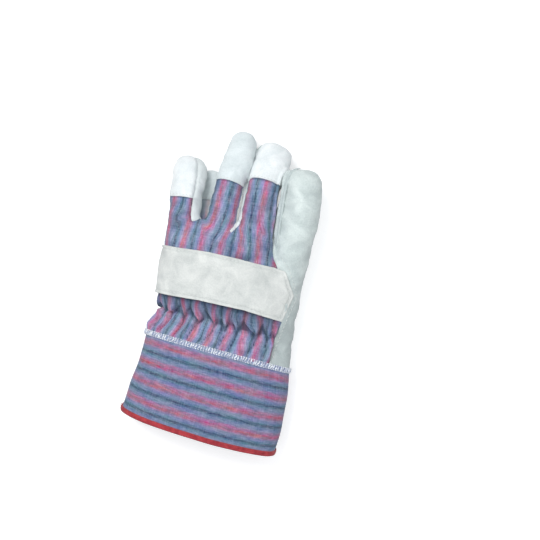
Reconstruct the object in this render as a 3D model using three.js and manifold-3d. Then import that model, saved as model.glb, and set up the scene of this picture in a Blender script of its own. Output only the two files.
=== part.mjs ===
// A left-hand leather palm work glove, lying palm down with its fingers slightly curled.
// Striped cotton back and gauntlet cuff; split-leather palm, thumb, fingertips and knuckle strap.
// Millimetres, +Z up, +Y towards the fingertips, +X towards the thumb.
// The hand is one skewed tube and each finger is a domed tube that grows out of it. Their union,
// hollowed, is one leather-thick shell, and the pattern pieces are cut out of that shell.
import * as THREE from "three";
import { mergeVertices } from "three/addons/utils/BufferGeometryUtils.js";
import Module from "manifold-3d";

const wasm = await Module();
wasm.setup();

// Driving sizes
const LEATHER = 1.5; // wall of the palm, the back and the fingers
const CUFF_WALL = 2.0; // two plies of stiffened cotton
const BINDING_WALL = 1.1; // folded tape round the hem
const TRIM = 0.8; // thickness of the overlock seam band
const GAP = 0.3; // clearance between neighbouring pieces
const BAND_LIFT = 0.45; // clearance of the overlock band over the gathered back
const CUFF_LIFT = LEATHER + GAP; // the palm's tongue lies under the cuff
const HEM_COVER = 2.4; // how far the binding reaches up the cuff
const SEAM_BAND = 4.2; // width of the overlock band over the cuff seam
const FOOTPRINT_CENTRE = [0, 113.1]; // middle of the glove's outline, moved to the origin

// Colours of the pieces; everything else is undyed split leather
const LEATHER_FINISH = { color: 0xdce0dd, roughness: 0.95, metalness: 0 };
const FINISHES = {
  back: { color: 0x9a8fb4, roughness: 0.9, metalness: 0 },
  cuff: { color: 0x9a8fb4, roughness: 0.88, metalness: 0 },
  cuff_binding: { color: 0xc9383f, roughness: 0.8, metalness: 0 },
  cuff_seam_band: { color: 0xe4e6ea, roughness: 0.85, metalness: 0 },
};

// Facets round a section: two to each gather of the back
const GATHERS = 12;
const BACK_STEPS = GATHERS * 2;
const PALM_STEPS = 11;
const FINGER_STEPS = 14;
const WEDGE_STEPS = 9;

// The hand tube, from the hem to the roots of the fingers. Each row is one section: its left and
// right edge in plan, its lowest and highest point, its squareness, how far its top leans along Y,
// and the height of the gathers there and whether their ridges stand on the middle line (phase 0)
// or beside it (1). A low point under 0 is flattened on the table.
const HAND = [
  { at: "hem", left: [-62, 5], right: [61.5, -5], low: -2, high: 40, square: 2.3, lean: -5 },
  { at: "cuff_low", left: [-59.8, 24], right: [63, 15], low: -3, high: 41, square: 2.3, lean: -4 },
  { at: "cuff_mid", left: [-56.4, 44], right: [63.5, 36], low: -4, high: 41, square: 2.3, lean: -2 },
  {
    at: "cuff_seam", left: [-55.6, 67], right: [60, 60], low: -5, high: 40,
    square: 2.3, lean: 0, fold: 0.5, phase: 1,
  },
  {
    at: "flounce", left: [-52.5, 75], right: [59, 68], low: -5, high: 39,
    square: 2.3, lean: 0, fold: 1.3, phase: 1,
  },
  {
    at: "pinch_low", left: [-48.5, 82.5], right: [58, 75], low: -5, high: 36.5,
    square: 2.3, lean: 0, fold: 1.6, phase: 1,
  },
  {
    at: "pinch_high", left: [-47.8, 87], right: [57.5, 81], low: -5, high: 37,
    square: 2.3, lean: 0, fold: 1.5,
  },
  {
    at: "strap_low", left: [-52.2, 98], right: [55.8, 97], low: -5, high: 43,
    square: 2.4, lean: 0, fold: 0.7,
  },
  { at: "strap_mid", left: [-54.6, 116], right: [52.5, 116], low: -5, high: 46.5, square: 2.4, lean: 0 },
  { at: "strap_high", left: [-55.2, 134], right: [43, 134], low: -5, high: 48, square: 2.4, lean: 0 },
  { at: "knuckles", left: [-55.4, 145], right: [32, 146], low: -3, high: 47, square: 2.4, lean: 0 },
  { at: "roots", left: [-53, 154], right: [26, 156], low: 3, high: 43, square: 2.3, lean: 0 },
  { at: "web", left: [-47, 160], right: [19, 161.5], low: 10, high: 37, square: 2.2, lean: 0 },
].map((section) => ({ fold: 0, phase: 0, ...section }));
const row = (name) => HAND.findIndex((section) => section.at === name);
const handRows = (from, to) => HAND.slice(row(from), row(to) + 1);

// The fingers and the thumb, from inside the hand to the last full section before the dome.
// wide and tall are half sizes, tip is the end of the dome, seams are the two angles at which the
// back piece meets the palm leather, counted from the thumb's side over the top, and cap is where
// the leather fingertip begins.
const FINGERS = {
  little: {
    rows: [
      { x: -37, y: 128, z: 25, wide: 13, tall: 14 },
      { x: -41.5, y: 147, z: 30.5, wide: 12.8, tall: 13 },
      { x: -44.4, y: 160, z: 32, wide: 12.2, tall: 11.8 },
      { x: -45.8, y: 173.8, z: 31, wide: 12.9, tall: 11.4 },
      { x: -46.8, y: 192, z: 27, wide: 12.9, tall: 11.2 },
    ],
    tip: [-48.6, 207, 20.5],
    seams: [62, 184],
    cap: 3,
  },
  ring: {
    rows: [
      { x: -24, y: 128, z: 24, wide: 11.5, tall: 13 },
      { x: -25.5, y: 147, z: 19, wide: 11.5, tall: 12.5 },
      { x: -28.2, y: 165, z: 12.6, wide: 11.2, tall: 10.8 },
      { x: -29.3, y: 176, z: 10.5, wide: 11.4, tall: 10.4 },
      { x: -30, y: 188, z: 9.4, wide: 11.2, tall: 9.8 },
    ],
    tip: [-30.4, 200, 8.6],
    seams: [20, 160],
    cap: 3,
  },
  middle: {
    rows: [
      { x: -14.5, y: 128, z: 28, wide: 13, tall: 14 },
      { x: -15.6, y: 147, z: 33, wide: 12.6, tall: 13 },
      { x: -16, y: 162, z: 34.5, wide: 11.6, tall: 11.6 },
      { x: -15.8, y: 178, z: 34, wide: 11.4, tall: 11.2 },
      { x: -15.1, y: 191.6, z: 31.2, wide: 11.4, tall: 11.2 },
      { x: -13.2, y: 207.5, z: 25.4, wide: 11.6, tall: 11.2 },
      { x: -11.9, y: 221, z: 17.8, wide: 11, tall: 10.8 },
    ],
    tip: [-11.3, 233.4, 9.5],
    seams: [4, 176],
    cap: 4,
  },
  index: {
    rows: [
      { x: 12, y: 128, z: 27, wide: 14, tall: 14 },
      { x: 12, y: 147, z: 31.5, wide: 14, tall: 13.5 },
      { x: 10.4, y: 164, z: 32, wide: 13.6, tall: 12.4 },
      { x: 10.1, y: 180, z: 30, wide: 13.6, tall: 12 },
      { x: 10, y: 197, z: 25.5, wide: 13.7, tall: 12 },
      { x: 12, y: 211, z: 19, wide: 14.4, tall: 12 },
      { x: 12.8, y: 219, z: 14.5, wide: 14, tall: 11.4 },
    ],
    tip: [13.4, 229, 9],
    seams: [2, 152],
    cap: 4,
  },
};
const THUMB = {
  rows: [
    { x: 44, y: 84, z: 16, wide: 12, tall: 13 },
    { x: 42.5, y: 104, z: 18, wide: 13.6, tall: 16 },
    { x: 42.2, y: 122, z: 20, wide: 14.2, tall: 17.5 },
    { x: 42.4, y: 138, z: 22.5, wide: 14.8, tall: 17 },
    { x: 42.6, y: 153, z: 25.5, wide: 15.4, tall: 16 },
    { x: 42, y: 171, z: 28, wide: 16.4, tall: 14.6 },
    { x: 41.2, y: 189, z: 29, wide: 16.6, tall: 13.4 },
    { x: 40.2, y: 200, z: 28.6, wide: 15.6, tall: 12.6 },
  ],
  tip: [39, 216, 27],
  seams: [-8, 142],
};
const THUMB_FREE = 4; // first row of the thumb clear of the hand
const THUMB_WELT = [138, 147]; // angles of the thumb that the welt covers
const INDEX_FRONT = 2; // row of the index finger where its own front piece begins

// Plan outlines on the back of the glove
const THUMB_PANEL_EDGE = [
  [26, 156],
  [32.4, 144],
  [40.4, 136.2],
  [51.5, 117.8],
  [46.6, 96],
  [44.6, 84],
  [43, 74],
  [43.9, 50],
];
const STRAP_OUTLINE = [
  [-80, 99],
  [-43, 99.4],
  [-20, 100.4],
  [16, 100],
  [46, 96.4],
  [51, 117.8],
  [41, 135],
  [4.5, 136.8],
  [-20, 137.4],
  [-43, 136],
  [-80, 135],
];
// The palm's rounded flap under the cuff; its cutter stays below the glove's sides
const TONGUE = { centre: -4, halfWidth: 38, foot: 26, corner: 23.5, top: 72, height: 16 };

// Cutters reach past the glove on every side, and stand out of what they cut
const REACH = { side: 95, tips: 260, below: -20, above: 90 };
const PROUD = 0.8;
const OVER_GATHERS = 2.8;
const OVER_STRAP = 7.8;
const NO_FLOOR = -50;

// A solid through rings of points: its ends are flat, a point where a ring has one, or joined up
function loft(rings, joined = false) {
  const points = [];
  const starts = rings.map((ring) => {
    const start = points.length;
    points.push(...ring);
    return start;
  });
  const faces = [];
  const closeEnd = (ring, start, flip) => {
    if (ring.length === 1) return;
    const hub = points.length;
    points.push(ring.reduce((sum, p) => sum.add(p), new THREE.Vector3()).divideScalar(ring.length));
    ring.forEach((_, i) => {
      const next = start + ((i + 1) % ring.length);
      faces.push(...(flip ? [hub, next, start + i] : [hub, start + i, next]));
    });
  };
  const bridge = (from, to) => {
    const count = rings[from].length;
    for (let i = 0; i < count; i += 1) {
      const next = (i + 1) % count;
      const [a, b] = [starts[from] + i, starts[from] + next];
      if (rings[to].length === 1) {
        faces.push(a, b, starts[to]);
      } else {
        const [c, d] = [starts[to] + i, starts[to] + next];
        faces.push(a, b, d, a, d, c);
      }
    }
  };
  for (let k = 1; k < rings.length; k += 1) bridge(k - 1, k);
  if (joined) {
    bridge(rings.length - 1, 0);
  } else {
    closeEnd(rings[0], starts[0], true);
    closeEnd(rings.at(-1), starts.at(-1), false);
  }
  const geometry = new THREE.BufferGeometry().setFromPoints(points);
  geometry.setIndex(faces);
  return solidOf(geometry);
}

function solidOf(geometry) {
  const bare = geometry.clone();
  bare.deleteAttribute("normal");
  bare.deleteAttribute("uv");
  const merged = mergeVertices(bare, 1e-4);
  const solid = new wasm.Manifold(
    new wasm.Mesh({
      numProp: 3,
      vertProperties: new Float32Array(merged.attributes.position.array),
      triVerts: new Uint32Array(merged.index.array),
    }),
  );
  return solid.volume() < 0 ? solidOf(turnedOut(merged)) : solid;
}

function turnedOut(geometry) {
  const turned = geometry.clone();
  const index = Array.from(geometry.index.array);
  for (let i = 0; i < index.length; i += 3) [index[i], index[i + 1]] = [index[i + 1], index[i]];
  turned.setIndex(index);
  return turned;
}

// An upright prism over a plan outline
function prism(outline, low = REACH.below, high = REACH.above) {
  const shape = new THREE.Shape(outline.map(([x, y]) => new THREE.Vector2(x, y)));
  const geometry = new THREE.ExtrudeGeometry(shape, { depth: high - low, bevelEnabled: false });
  geometry.translate(0, 0, low);
  return solidOf(geometry);
}

const power = (value, exponent) => Math.sign(value) * Math.abs(value) ** exponent;

// The angles of a hand section, from the thumb's side over the back and then under the palm
const HAND_ANGLES = [
  ...Array.from({ length: BACK_STEPS }, (_, i) => (Math.PI * i) / BACK_STEPS),
  ...Array.from({ length: PALM_STEPS }, (_, i) => Math.PI + (Math.PI * i) / PALM_STEPS),
];

function handPoint(section, angle, grow, floor) {
  const [left, right] = [section.left, section.right].map(([x, y]) => new THREE.Vector3(x, y, 0));
  const half = right.clone().sub(left).multiplyScalar(0.5);
  const across = power(Math.cos(angle), 2 / section.square);
  const up = power(Math.sin(angle), 2 / section.square);
  const middle = (section.low + section.high) / 2;
  const tall = (section.high - section.low) / 2;
  const point = left.clone().add(half);
  point.addScaledVector(half.clone().normalize(), across * (half.length() + grow));
  const onBack = Math.max(0, Math.sin(angle));
  const fold = section.fold * Math.min(1, 2 * onBack);
  const gather = fold * Math.cos(2 * GATHERS * angle + section.phase * Math.PI);
  point.z = Math.max(middle + up * (tall + grow) + gather, floor);
  point.y += (section.lean * (point.z - middle)) / tall;
  if (section === HAND.at(-1)) point.y += grow;
  return point;
}

function tube(sections, grow, floor) {
  return loft(sections.map((section) => HAND_ANGLES.map((a) => handPoint(section, a, grow, floor))));
}
const handSolid = (from, to, grow, floor) => tube(handRows(from, to), grow, floor);

// The section so many millimetres above a row, or below it where negative
function sectionNear(name, distance) {
  const [here, next] = [HAND[row(name)], HAND[row(name) + 1]];
  const other = distance < 0 && row(name) > 0 ? HAND[row(name) - 1] : next;
  const share = distance / (other.left[1] - here.left[1]);
  const mix = (p, q) => p + (q - p) * share;
  return {
    ...here,
    left: here.left.map((value, i) => mix(value, other.left[i])),
    right: here.right.map((value, i) => mix(value, other.right[i])),
    low: mix(here.low, other.low),
    high: mix(here.high, other.high),
    lean: mix(here.lean, other.lean),
    fold: mix(here.fold, other.fold),
  };
}

// A wall bent round the hand: its profile is a closed list of sections, each with its growth
function wall(profile, angles, closed) {
  const rings = angles.map((angle) =>
    profile.map(([section, grow]) => handPoint(section, angle, grow, CUFF_LIFT - grow)),
  );
  return loft(rings, closed);
}

// The upper part of the hand tube, as a fan of sections about its middle. A clearance widens it
// on every side.
const HAND_SEAMS = [-6, 186];
function handWedge(from, to, grow, clearance) {
  const [start, end] = HAND_SEAMS.map((degrees) => THREE.MathUtils.degToRad(degrees));
  const rows = handRows(from, to);
  const rings = rows.map((section, k) => {
    const hub = new THREE.Vector3(
      (section.left[0] + section.right[0]) / 2,
      (section.left[1] + section.right[1]) / 2,
      (section.low + section.high) / 2,
    );
    const arc = Array.from({ length: BACK_STEPS / 2 + 1 }, (_, i) => {
      const angle = start + ((end - start) * 2 * i) / BACK_STEPS;
      return handPoint({ ...section, fold: 0 }, angle, grow + 2 * clearance, NO_FLOOR);
    });
    const ring = [hub, ...arc];
    const ahead = k === rows.length - 1 ? clearance : 0;
    ring.forEach((point) => point.add(new THREE.Vector3(0, ahead, -clearance)));
    return ring;
  });
  return loft(rings);
}

// Sections of a finger: rings square to its run, then a squarish dome to the tip
const DOME = [0.42, 0.72, 0.91];
const DOME_SQUARE = 2.5;
function fingerSections(finger, grow) {
  const centres = finger.rows.map(({ x, y, z }) => new THREE.Vector3(x, y, z));
  const tip = new THREE.Vector3(...finger.tip);
  const path = [...centres, tip];
  const sections = finger.rows.map(({ wide, tall }, i) => ({
    centre: centres[i],
    run: path[Math.min(i + 1, path.length - 1)].clone().sub(path[Math.max(i - 1, 0)]).normalize(),
    wide: wide + grow,
    tall: tall + grow,
  }));
  const last = sections.at(-1);
  const run = tip.clone().sub(last.centre);
  const reach = run.length() + grow;
  run.normalize();
  DOME.forEach((share) => {
    const shrink = (1 - share ** DOME_SQUARE) ** (1 / DOME_SQUARE);
    sections.push({
      centre: last.centre.clone().addScaledVector(run, reach * share),
      run,
      wide: last.wide * shrink,
      tall: last.tall * shrink,
    });
  });
  sections.push({ centre: last.centre.clone().addScaledVector(run, reach), run, wide: 0, tall: 0 });
  return sections;
}

function acrossAndUp({ run }) {
  const side = new THREE.Vector3().crossVectors(run, new THREE.Vector3(0, 0, 1)).normalize();
  return [side, new THREE.Vector3().crossVectors(side, run)];
}

function fingerRing(section, angles, floor) {
  if (section.wide === 0) return [section.centre.clone().setZ(Math.max(section.centre.z, floor))];
  const [side, up] = acrossAndUp(section);
  return angles.map((angle) => {
    const point = section.centre.clone();
    point.addScaledVector(side, Math.cos(angle) * section.wide);
    point.addScaledVector(up, Math.sin(angle) * section.tall);
    point.z = Math.max(point.z, floor);
    return point;
  });
}

const FULL_TURN = Array.from({ length: FINGER_STEPS }, (_, i) => (2 * Math.PI * i) / FINGER_STEPS);
function fingerSolid(finger, grow, floor) {
  return loft(fingerSections(finger, grow).map((section) => fingerRing(section, FULL_TURN, floor)));
}

// The part of a finger between its two seams, as a fan about its centre line, set back from the
// seams by a clearance
function fingerWedge(finger, grow, clearance) {
  const [start, end] = finger.seams.map((degrees) => THREE.MathUtils.degToRad(degrees));
  const turn = Array.from(
    { length: WEDGE_STEPS + 1 },
    (_, i) => start + ((end - start) * i) / WEDGE_STEPS,
  );
  const middle = (start + end) / 2;
  const rings = fingerSections(finger, grow + 2 * clearance).map((section, k) => {
    const [side, up] = acrossAndUp(section);
    const step = side.multiplyScalar(Math.cos(middle)).addScaledVector(up, Math.sin(middle));
    step.multiplyScalar(-clearance).addScaledVector(section.run, k === 0 ? -clearance : 0);
    const arc = fingerRing(section, turn, NO_FLOOR);
    const ring = section.wide === 0 ? arc : [section.centre.clone(), ...arc];
    ring.forEach((point) => point.add(step));
    return ring;
  });
  return loft(rings);
}

// A finger from one row to its tip, with a clearance all round it and before it
function fingerEnd(finger, first, clearance) {
  const sections = fingerSections(finger, PROUD + clearance).slice(first);
  const root = { ...sections[0], centre: sections[0].centre.clone() };
  root.centre.addScaledVector(root.run, -clearance);
  return loft([root, ...sections.slice(1)].map((section) => fingerRing(section, FULL_TURN, NO_FLOOR)));
}

const join = (solids) => solids.reduce((sum, solid) => sum.add(solid));
const digits = Object.values(FINGERS);

// The hollow body of the hand, its fingers and its thumb
const handFrom = (from, grow, floor) =>
  join([
    handSolid(from, "web", grow, floor),
    ...[...digits, THUMB].map((finger) => fingerSolid(finger, grow, floor)),
  ]);
const skin = handFrom("cuff_seam", 0, 0);
const hollow = handFrom("cuff_mid", -LEATHER, LEATHER);
const seam = [HAND[row("cuff_seam")].left, HAND[row("cuff_seam")].right];
const onSeam = (x, shift) => {
  const slope = (seam[1][1] - seam[0][1]) / (seam[1][0] - seam[0][0]);
  return [x, seam[0][1] + slope * (x - seam[0][0]) + shift];
};
const aboveSeam = (shift) =>
  prism([
    onSeam(-REACH.side, shift),
    onSeam(REACH.side, shift),
    [REACH.side, REACH.tips],
    [-REACH.side, REACH.tips],
  ]);
const shell = skin.subtract(hollow).intersect(aboveSeam(GAP / 2));

// The upper half of everything, between the seams
const upperHalf = (clearance) =>
  join([
    handWedge("cuff_seam", "roots", OVER_GATHERS, clearance),
    ...digits.map((finger) => fingerWedge(finger, PROUD, clearance)),
    fingerWedge(THUMB, PROUD, clearance),
  ]);
const upperShell = shell.intersect(upperHalf(0));
const lowerShell = shell.subtract(upperHalf(GAP));

const thumbSide = (clearance) => {
  const edge = THUMB_PANEL_EDGE.map(([x, y]) => [x - clearance, y]);
  const [start, end] = [THUMB_PANEL_EDGE.at(-1)[1], THUMB_PANEL_EDGE[0][1] + clearance];
  const panel = prism([[edge[0][0], end], ...edge, [REACH.side, start], [REACH.side, end]]);
  return panel.add(fingerEnd(THUMB, THUMB_FREE, clearance));
};

// The largest of the bodies that a cut leaves, without its slivers
function mainBody(solid) {
  return solid.decompose().reduce((best, body) => (body.volume() > best.volume() ? body : best));
}

const pieces = {};
pieces.thumb_back = mainBody(upperShell.intersect(thumbSide(0)));
Object.entries(FINGERS).forEach(([name, finger]) => {
  pieces["fingertip_" + name] = mainBody(upperShell.intersect(fingerEnd(finger, finger.cap, 0)));
});
pieces.back = mainBody(
  digits.reduce(
    (left, finger) => left.subtract(fingerEnd(finger, finger.cap, GAP)),
    upperShell.subtract(thumbSide(GAP)),
  ),
);

// Palm leather with its rounded tongue over the cuff, and the separate front of the index finger
const indexFront = (clearance) => fingerEnd(FINGERS.index, INDEX_FRONT, clearance);
pieces.index_front = mainBody(lowerShell.intersect(indexFront(0)));
const tongueOutline = () => {
  const { centre, halfWidth, foot, corner, top } = TONGUE;
  const [left, right] = [centre - halfWidth, centre + halfWidth];
  const shape = new THREE.Shape();
  shape.moveTo(left, top);
  shape.lineTo(left, foot + corner);
  shape.quadraticCurveTo(left, foot, centre, foot);
  shape.quadraticCurveTo(right, foot, right, foot + corner);
  shape.lineTo(right, top);
  return shape.getPoints(6).map(({ x, y }) => [x, y]);
};
const tongueLayer = (inner, innerFloor) =>
  handSolid("hem", "flounce", CUFF_LIFT, 0).subtract(handSolid("hem", "pinch_high", inner, innerFloor));
const underside = prism(tongueOutline(), REACH.below, TONGUE.height);
const tongue = tongueLayer(GAP, LEATHER)
  .intersect(underside)
  .add(tongueLayer(-LEATHER / 2, LEATHER).intersect(underside).intersect(aboveSeam(GAP / 2)));
pieces.palm = mainBody(
  lowerShell.subtract(indexFront(GAP)).add(tongue).subtract(
    handSolid("cuff_mid", "pinch_high", -LEATHER, LEATHER),
  ),
);

// Leather strap over the knuckles, laid on the back
const backLayer = (low, high) =>
  handFrom("cuff_mid", high, 0)
    .subtract(handFrom("cuff_mid", low, 0))
    .intersect(handWedge("cuff_mid", "roots", OVER_STRAP, 0));
pieces.knuckle_strap = mainBody(backLayer(GAP, GAP + LEATHER).intersect(prism(STRAP_OUTLINE)));

// Stiff two-ply cuff
const cuffRows = [...handRows("hem", "cuff_mid"), sectionNear("cuff_seam", -GAP / 2)];
const bothFaces = (sections, outer, inner) => [
  ...sections.map((section) => [section, outer]),
  ...sections.toReversed().map((section) => [section, inner]),
];
pieces.cuff = wall(bothFaces(cuffRows, 0, -CUFF_WALL), HAND_ANGLES, true);

// Binding folded over the hem, outside and inside
const lip = sectionNear("hem", HEM_COVER);
const edge = sectionNear("hem", -GAP);
const fold = sectionNear("hem", -GAP - BINDING_WALL);
const [outside, inside] = [GAP, -CUFF_WALL - GAP];
const bindingProfile = [
  [fold, outside + BINDING_WALL],
  [lip, outside + BINDING_WALL],
  [lip, outside],
  [edge, outside],
  [edge, inside],
  [lip, inside],
  [lip, inside - BINDING_WALL],
  [fold, inside - BINDING_WALL],
];
pieces.cuff_binding = wall(bindingProfile, HAND_ANGLES, true);

// Overlock band over the seam between the cuff and the back
const bandRows = [-SEAM_BAND / 2, 0, SEAM_BAND / 2].map((distance) => sectionNear("cuff_seam", distance));
const bandFaces = bothFaces(bandRows, BAND_LIFT, BAND_LIFT + TRIM);
pieces.cuff_seam_band = wall(bandFaces, HAND_ANGLES.slice(0, BACK_STEPS + 1), false);

// Welt along the thumb's seam next to the index finger
const weltLine = { ...THUMB, seams: THUMB_WELT };
pieces.thumb_welt = mainBody(
  handFrom("cuff_mid", GAP + TRIM, 0)
    .subtract(handFrom("cuff_mid", GAP, 0))
    .intersect(fingerWedge(weltLine, PROUD + TRIM, 0))
    .intersect(fingerEnd(THUMB, THUMB_FREE, TRIM)),
);

// The named pieces as meshes, moved so that the footprint's middle is the origin
function assembled(solids) {
  const glove = new THREE.Group();
  Object.entries(solids).forEach(([name, solid]) => {
    const { vertProperties, triVerts } = solid.getMesh();
    const geometry = new THREE.BufferGeometry();
    geometry.setAttribute("position", new THREE.BufferAttribute(vertProperties, 3));
    geometry.setIndex(new THREE.BufferAttribute(triVerts, 1));
    geometry.translate(-FOOTPRINT_CENTRE[0], -FOOTPRINT_CENTRE[1], 0);
    geometry.computeVertexNormals();
    const material = new THREE.MeshStandardMaterial(FINISHES[name] ?? LEATHER_FINISH);
    const mesh = new THREE.Mesh(geometry, material);
    mesh.name = name;
    glove.add(mesh);
  });
  return glove;
}

export default assembled(pieces);
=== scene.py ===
import math

import bmesh
import bpy
import numpy as np
import openvdb
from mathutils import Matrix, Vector
from mathutils.bvhtree import BVHTree


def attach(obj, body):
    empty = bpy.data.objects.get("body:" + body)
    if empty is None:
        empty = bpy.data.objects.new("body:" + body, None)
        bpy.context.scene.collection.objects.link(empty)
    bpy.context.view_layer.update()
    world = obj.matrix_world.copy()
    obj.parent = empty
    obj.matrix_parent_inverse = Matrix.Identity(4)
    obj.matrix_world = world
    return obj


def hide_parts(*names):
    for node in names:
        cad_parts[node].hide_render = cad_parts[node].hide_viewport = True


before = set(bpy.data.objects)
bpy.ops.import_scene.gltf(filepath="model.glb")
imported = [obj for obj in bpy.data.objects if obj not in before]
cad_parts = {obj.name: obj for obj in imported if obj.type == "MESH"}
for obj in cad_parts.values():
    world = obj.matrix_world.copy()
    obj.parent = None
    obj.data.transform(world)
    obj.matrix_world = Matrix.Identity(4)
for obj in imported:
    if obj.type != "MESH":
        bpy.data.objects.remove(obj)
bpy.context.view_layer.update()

# The skin: one form that every pattern piece is cut from. The hand is a skewed tube, and each finger
# is a domed tube that grows out of it. Leather and cotton share this skin, so their seams meet edge
# to edge. All its sizes are millimetres in the pattern's own plan, with the cuff at the bottom.
MM = 0.001
PLAN_CENTRE = np.array([0.0, 113.1, 0.0])
TONGUE_LIFT = 1.8  # the palm's tongue lies so far outside the cuff that it laps over
HAND = {
    # from the hem to the roots of the fingers: x and y of the left edge and of the right one, lowest
    # and highest z, squareness, lean of the top, and how far outside the leather lies
    "hem": (-62, 5, 61.5, -5, -2, 40, 2.3, -5, TONGUE_LIFT),
    "cuff_low": (-59.8, 24, 63, 15, -3, 41, 2.3, -4, TONGUE_LIFT),
    "cuff_mid": (-56.4, 44, 63.5, 36, -4, 41, 2.3, -2, TONGUE_LIFT),
    "cuff_seam": (-55.6, 67, 60, 60, -5, 40, 2.3, 0, 0.3),
    "flounce": (-52.5, 75, 59, 68, -5, 39, 2.3, 0, 0),
    "pinch_low": (-48.5, 82.5, 58, 75, -5, 36.5, 2.3, 0, 0),
    "pinch_high": (-47.8, 87, 57.5, 81, -5, 37, 2.3, 0, 0),
    "strap_low": (-52.2, 98, 55.8, 97, -5, 43, 2.4, 0, 0),
    "strap_mid": (-54.6, 116, 52.5, 116, -5, 46.5, 2.4, 0, 0),
    "strap_high": (-55.2, 134, 43, 134, -5, 48, 2.4, 0, 0),
    "knuckles": (-55.4, 145, 32, 146, -3, 47, 2.4, 0, 0),
    "roots": (-53, 154, 26, 156, 3, 43, 2.3, 0, 0),
    "web": (-47, 160, 19, 161.5, 10, 37, 2.2, 0, 0),
}
HAND_AT = {name: (row[1] + row[3]) / 2 for name, row in HAND.items()}
DIGITS = {
    # rows of x, y, z and half width and height; the end of the dome; the two seam angles, counted
    # from the thumb's side over the top; the row where the leather fingertip begins; the place of
    # the finger's middle on the striped cloth
    "little": dict(
        rows=[(-37, 128, 25, 13, 14), (-41.5, 147, 30.5, 12.8, 13), (-44.4, 160, 32, 12.2, 11.8),
              (-45.8, 173.8, 31, 12.9, 11.4), (-46.8, 192, 27, 12.9, 11.2)],
        tip=(-48.6, 207, 20.5), seams=(62, 184), cap=3, stripe=-47.2),
    "ring": dict(
        rows=[(-24, 128, 24, 11.5, 13), (-25.5, 147, 19, 11.5, 12.5), (-28.2, 165, 12.6, 11.2, 10.8),
              (-29.3, 176, 10.5, 11.4, 10.4), (-30, 188, 9.4, 11.2, 9.8)],
        tip=(-30.4, 200, 8.6), seams=(20, 160), cap=3, stripe=-27.8),
    "middle": dict(
        rows=[(-14.5, 128, 28, 13, 14), (-15.6, 147, 33, 12.6, 13), (-16, 162, 34.5, 11.6, 11.6),
              (-15.8, 178, 34, 11.4, 11.2), (-15.1, 191.6, 31.2, 11.4, 11.2),
              (-13.2, 207.5, 25.4, 11.6, 11.2), (-11.9, 221, 17.8, 11, 10.8)],
        tip=(-11.3, 233.4, 9.5), seams=(4, 176), cap=4, stripe=-21.6),
    "index": dict(
        rows=[(12, 128, 27, 14, 14), (12, 147, 31.5, 14, 13.5), (10.4, 164, 32, 13.6, 12.4),
              (10.1, 180, 30, 13.6, 12), (10, 197, 25.5, 13.7, 12), (12, 211, 19, 14.4, 12),
              (12.8, 219, 14.5, 14, 11.4)],
        tip=(13.4, 229, 9), seams=(2, 152), cap=4, stripe=15.2),
    "thumb": dict(
        rows=[(44, 84, 16, 12, 13), (42.5, 104, 18, 13.6, 16), (42.2, 122, 20, 14.2, 17.5),
              (42.4, 138, 22.5, 14.8, 17), (42.6, 153, 25.5, 15.4, 16), (42, 171, 28, 16.4, 14.6),
              (41.2, 189, 29, 16.6, 13.4), (40.2, 200, 28.6, 15.6, 12.6)],
        tip=(39, 216, 27), seams=(-8, 142), cap=4, stripe=0),
}
FINGER_NAMES = ("little", "ring", "middle", "index")
DOME_POWER = 2.5  # how squarely a fingertip is rounded off
DOME_RINGS = 10


def smooth_between(at, values, wanted):
    """Values of a table's columns at the wanted places, on smooth curves that never overshoot."""
    at, values = np.asarray(at, float), np.asarray(values, float)
    step = np.diff(at)[:, None]
    slope = np.diff(values, axis=0) / step
    tangent = np.zeros_like(values)
    before, after = slope[:-1], slope[1:]
    same_way = before * after > 0
    weights = step[:-1] + step[1:]
    mean = before * after * 3 * weights
    share = (weights + step[1:]) * after + (weights + step[:-1]) * before
    tangent[1:-1] = np.where(same_way, mean / np.where(same_way, share, 1), 0)
    tangent[0], tangent[-1] = slope[0], slope[-1]
    wanted = np.clip(wanted, at[0], at[-1])
    k = np.clip(np.searchsorted(at, wanted, side="right") - 1, 0, len(at) - 2)
    width = (at[k + 1] - at[k])[:, None]
    t = ((wanted - at[k]) / (at[k + 1] - at[k]))[:, None]
    return (
        values[k] * (1 + 2 * t) * (1 - t) ** 2
        + tangent[k] * width * t * (1 - t) ** 2
        + values[k + 1] * t**2 * (3 - 2 * t)
        + tangent[k + 1] * width * t**2 * (t - 1)
    )


def signed_power(value, exponent):
    return np.sign(value) * np.abs(value) ** exponent


def hand_sections(at):
    """Smooth sections of the hand at distances along it."""
    values = smooth_between(list(HAND_AT.values()), list(HAND.values()), np.asarray(at, float))
    left, right = values[:, 0:2], values[:, 2:4]
    half = np.linalg.norm(right - left, axis=1) / 2
    return dict(
        at=np.asarray(at, float), centre=(left + right) / 2, half=half,
        across=(right - left) / (2 * half[:, None]),
        middle=(values[:, 4] + values[:, 5]) / 2, tall=(values[:, 5] - values[:, 4]) / 2,
        square=values[:, 6], lean=values[:, 7], lift=values[:, 8],
    )


def hand_points(sections, angles, grow, floor):
    """Points round each section, one row for each."""
    power = (2 / sections["square"])[:, None]
    across = signed_power(np.cos(angles)[None], power) * (sections["half"][:, None] + grow)
    up = signed_power(np.sin(angles)[None], power) * (sections["tall"][:, None] + grow)
    z = np.maximum(sections["middle"][:, None] + up, floor)
    plan = sections["centre"][:, None] + across[..., None] * sections["across"][:, None]
    lean = sections["lean"][:, None] * (z - sections["middle"][:, None]) / sections["tall"][:, None]
    return np.dstack([plan[..., 0], plan[..., 1] + lean, z])


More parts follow.
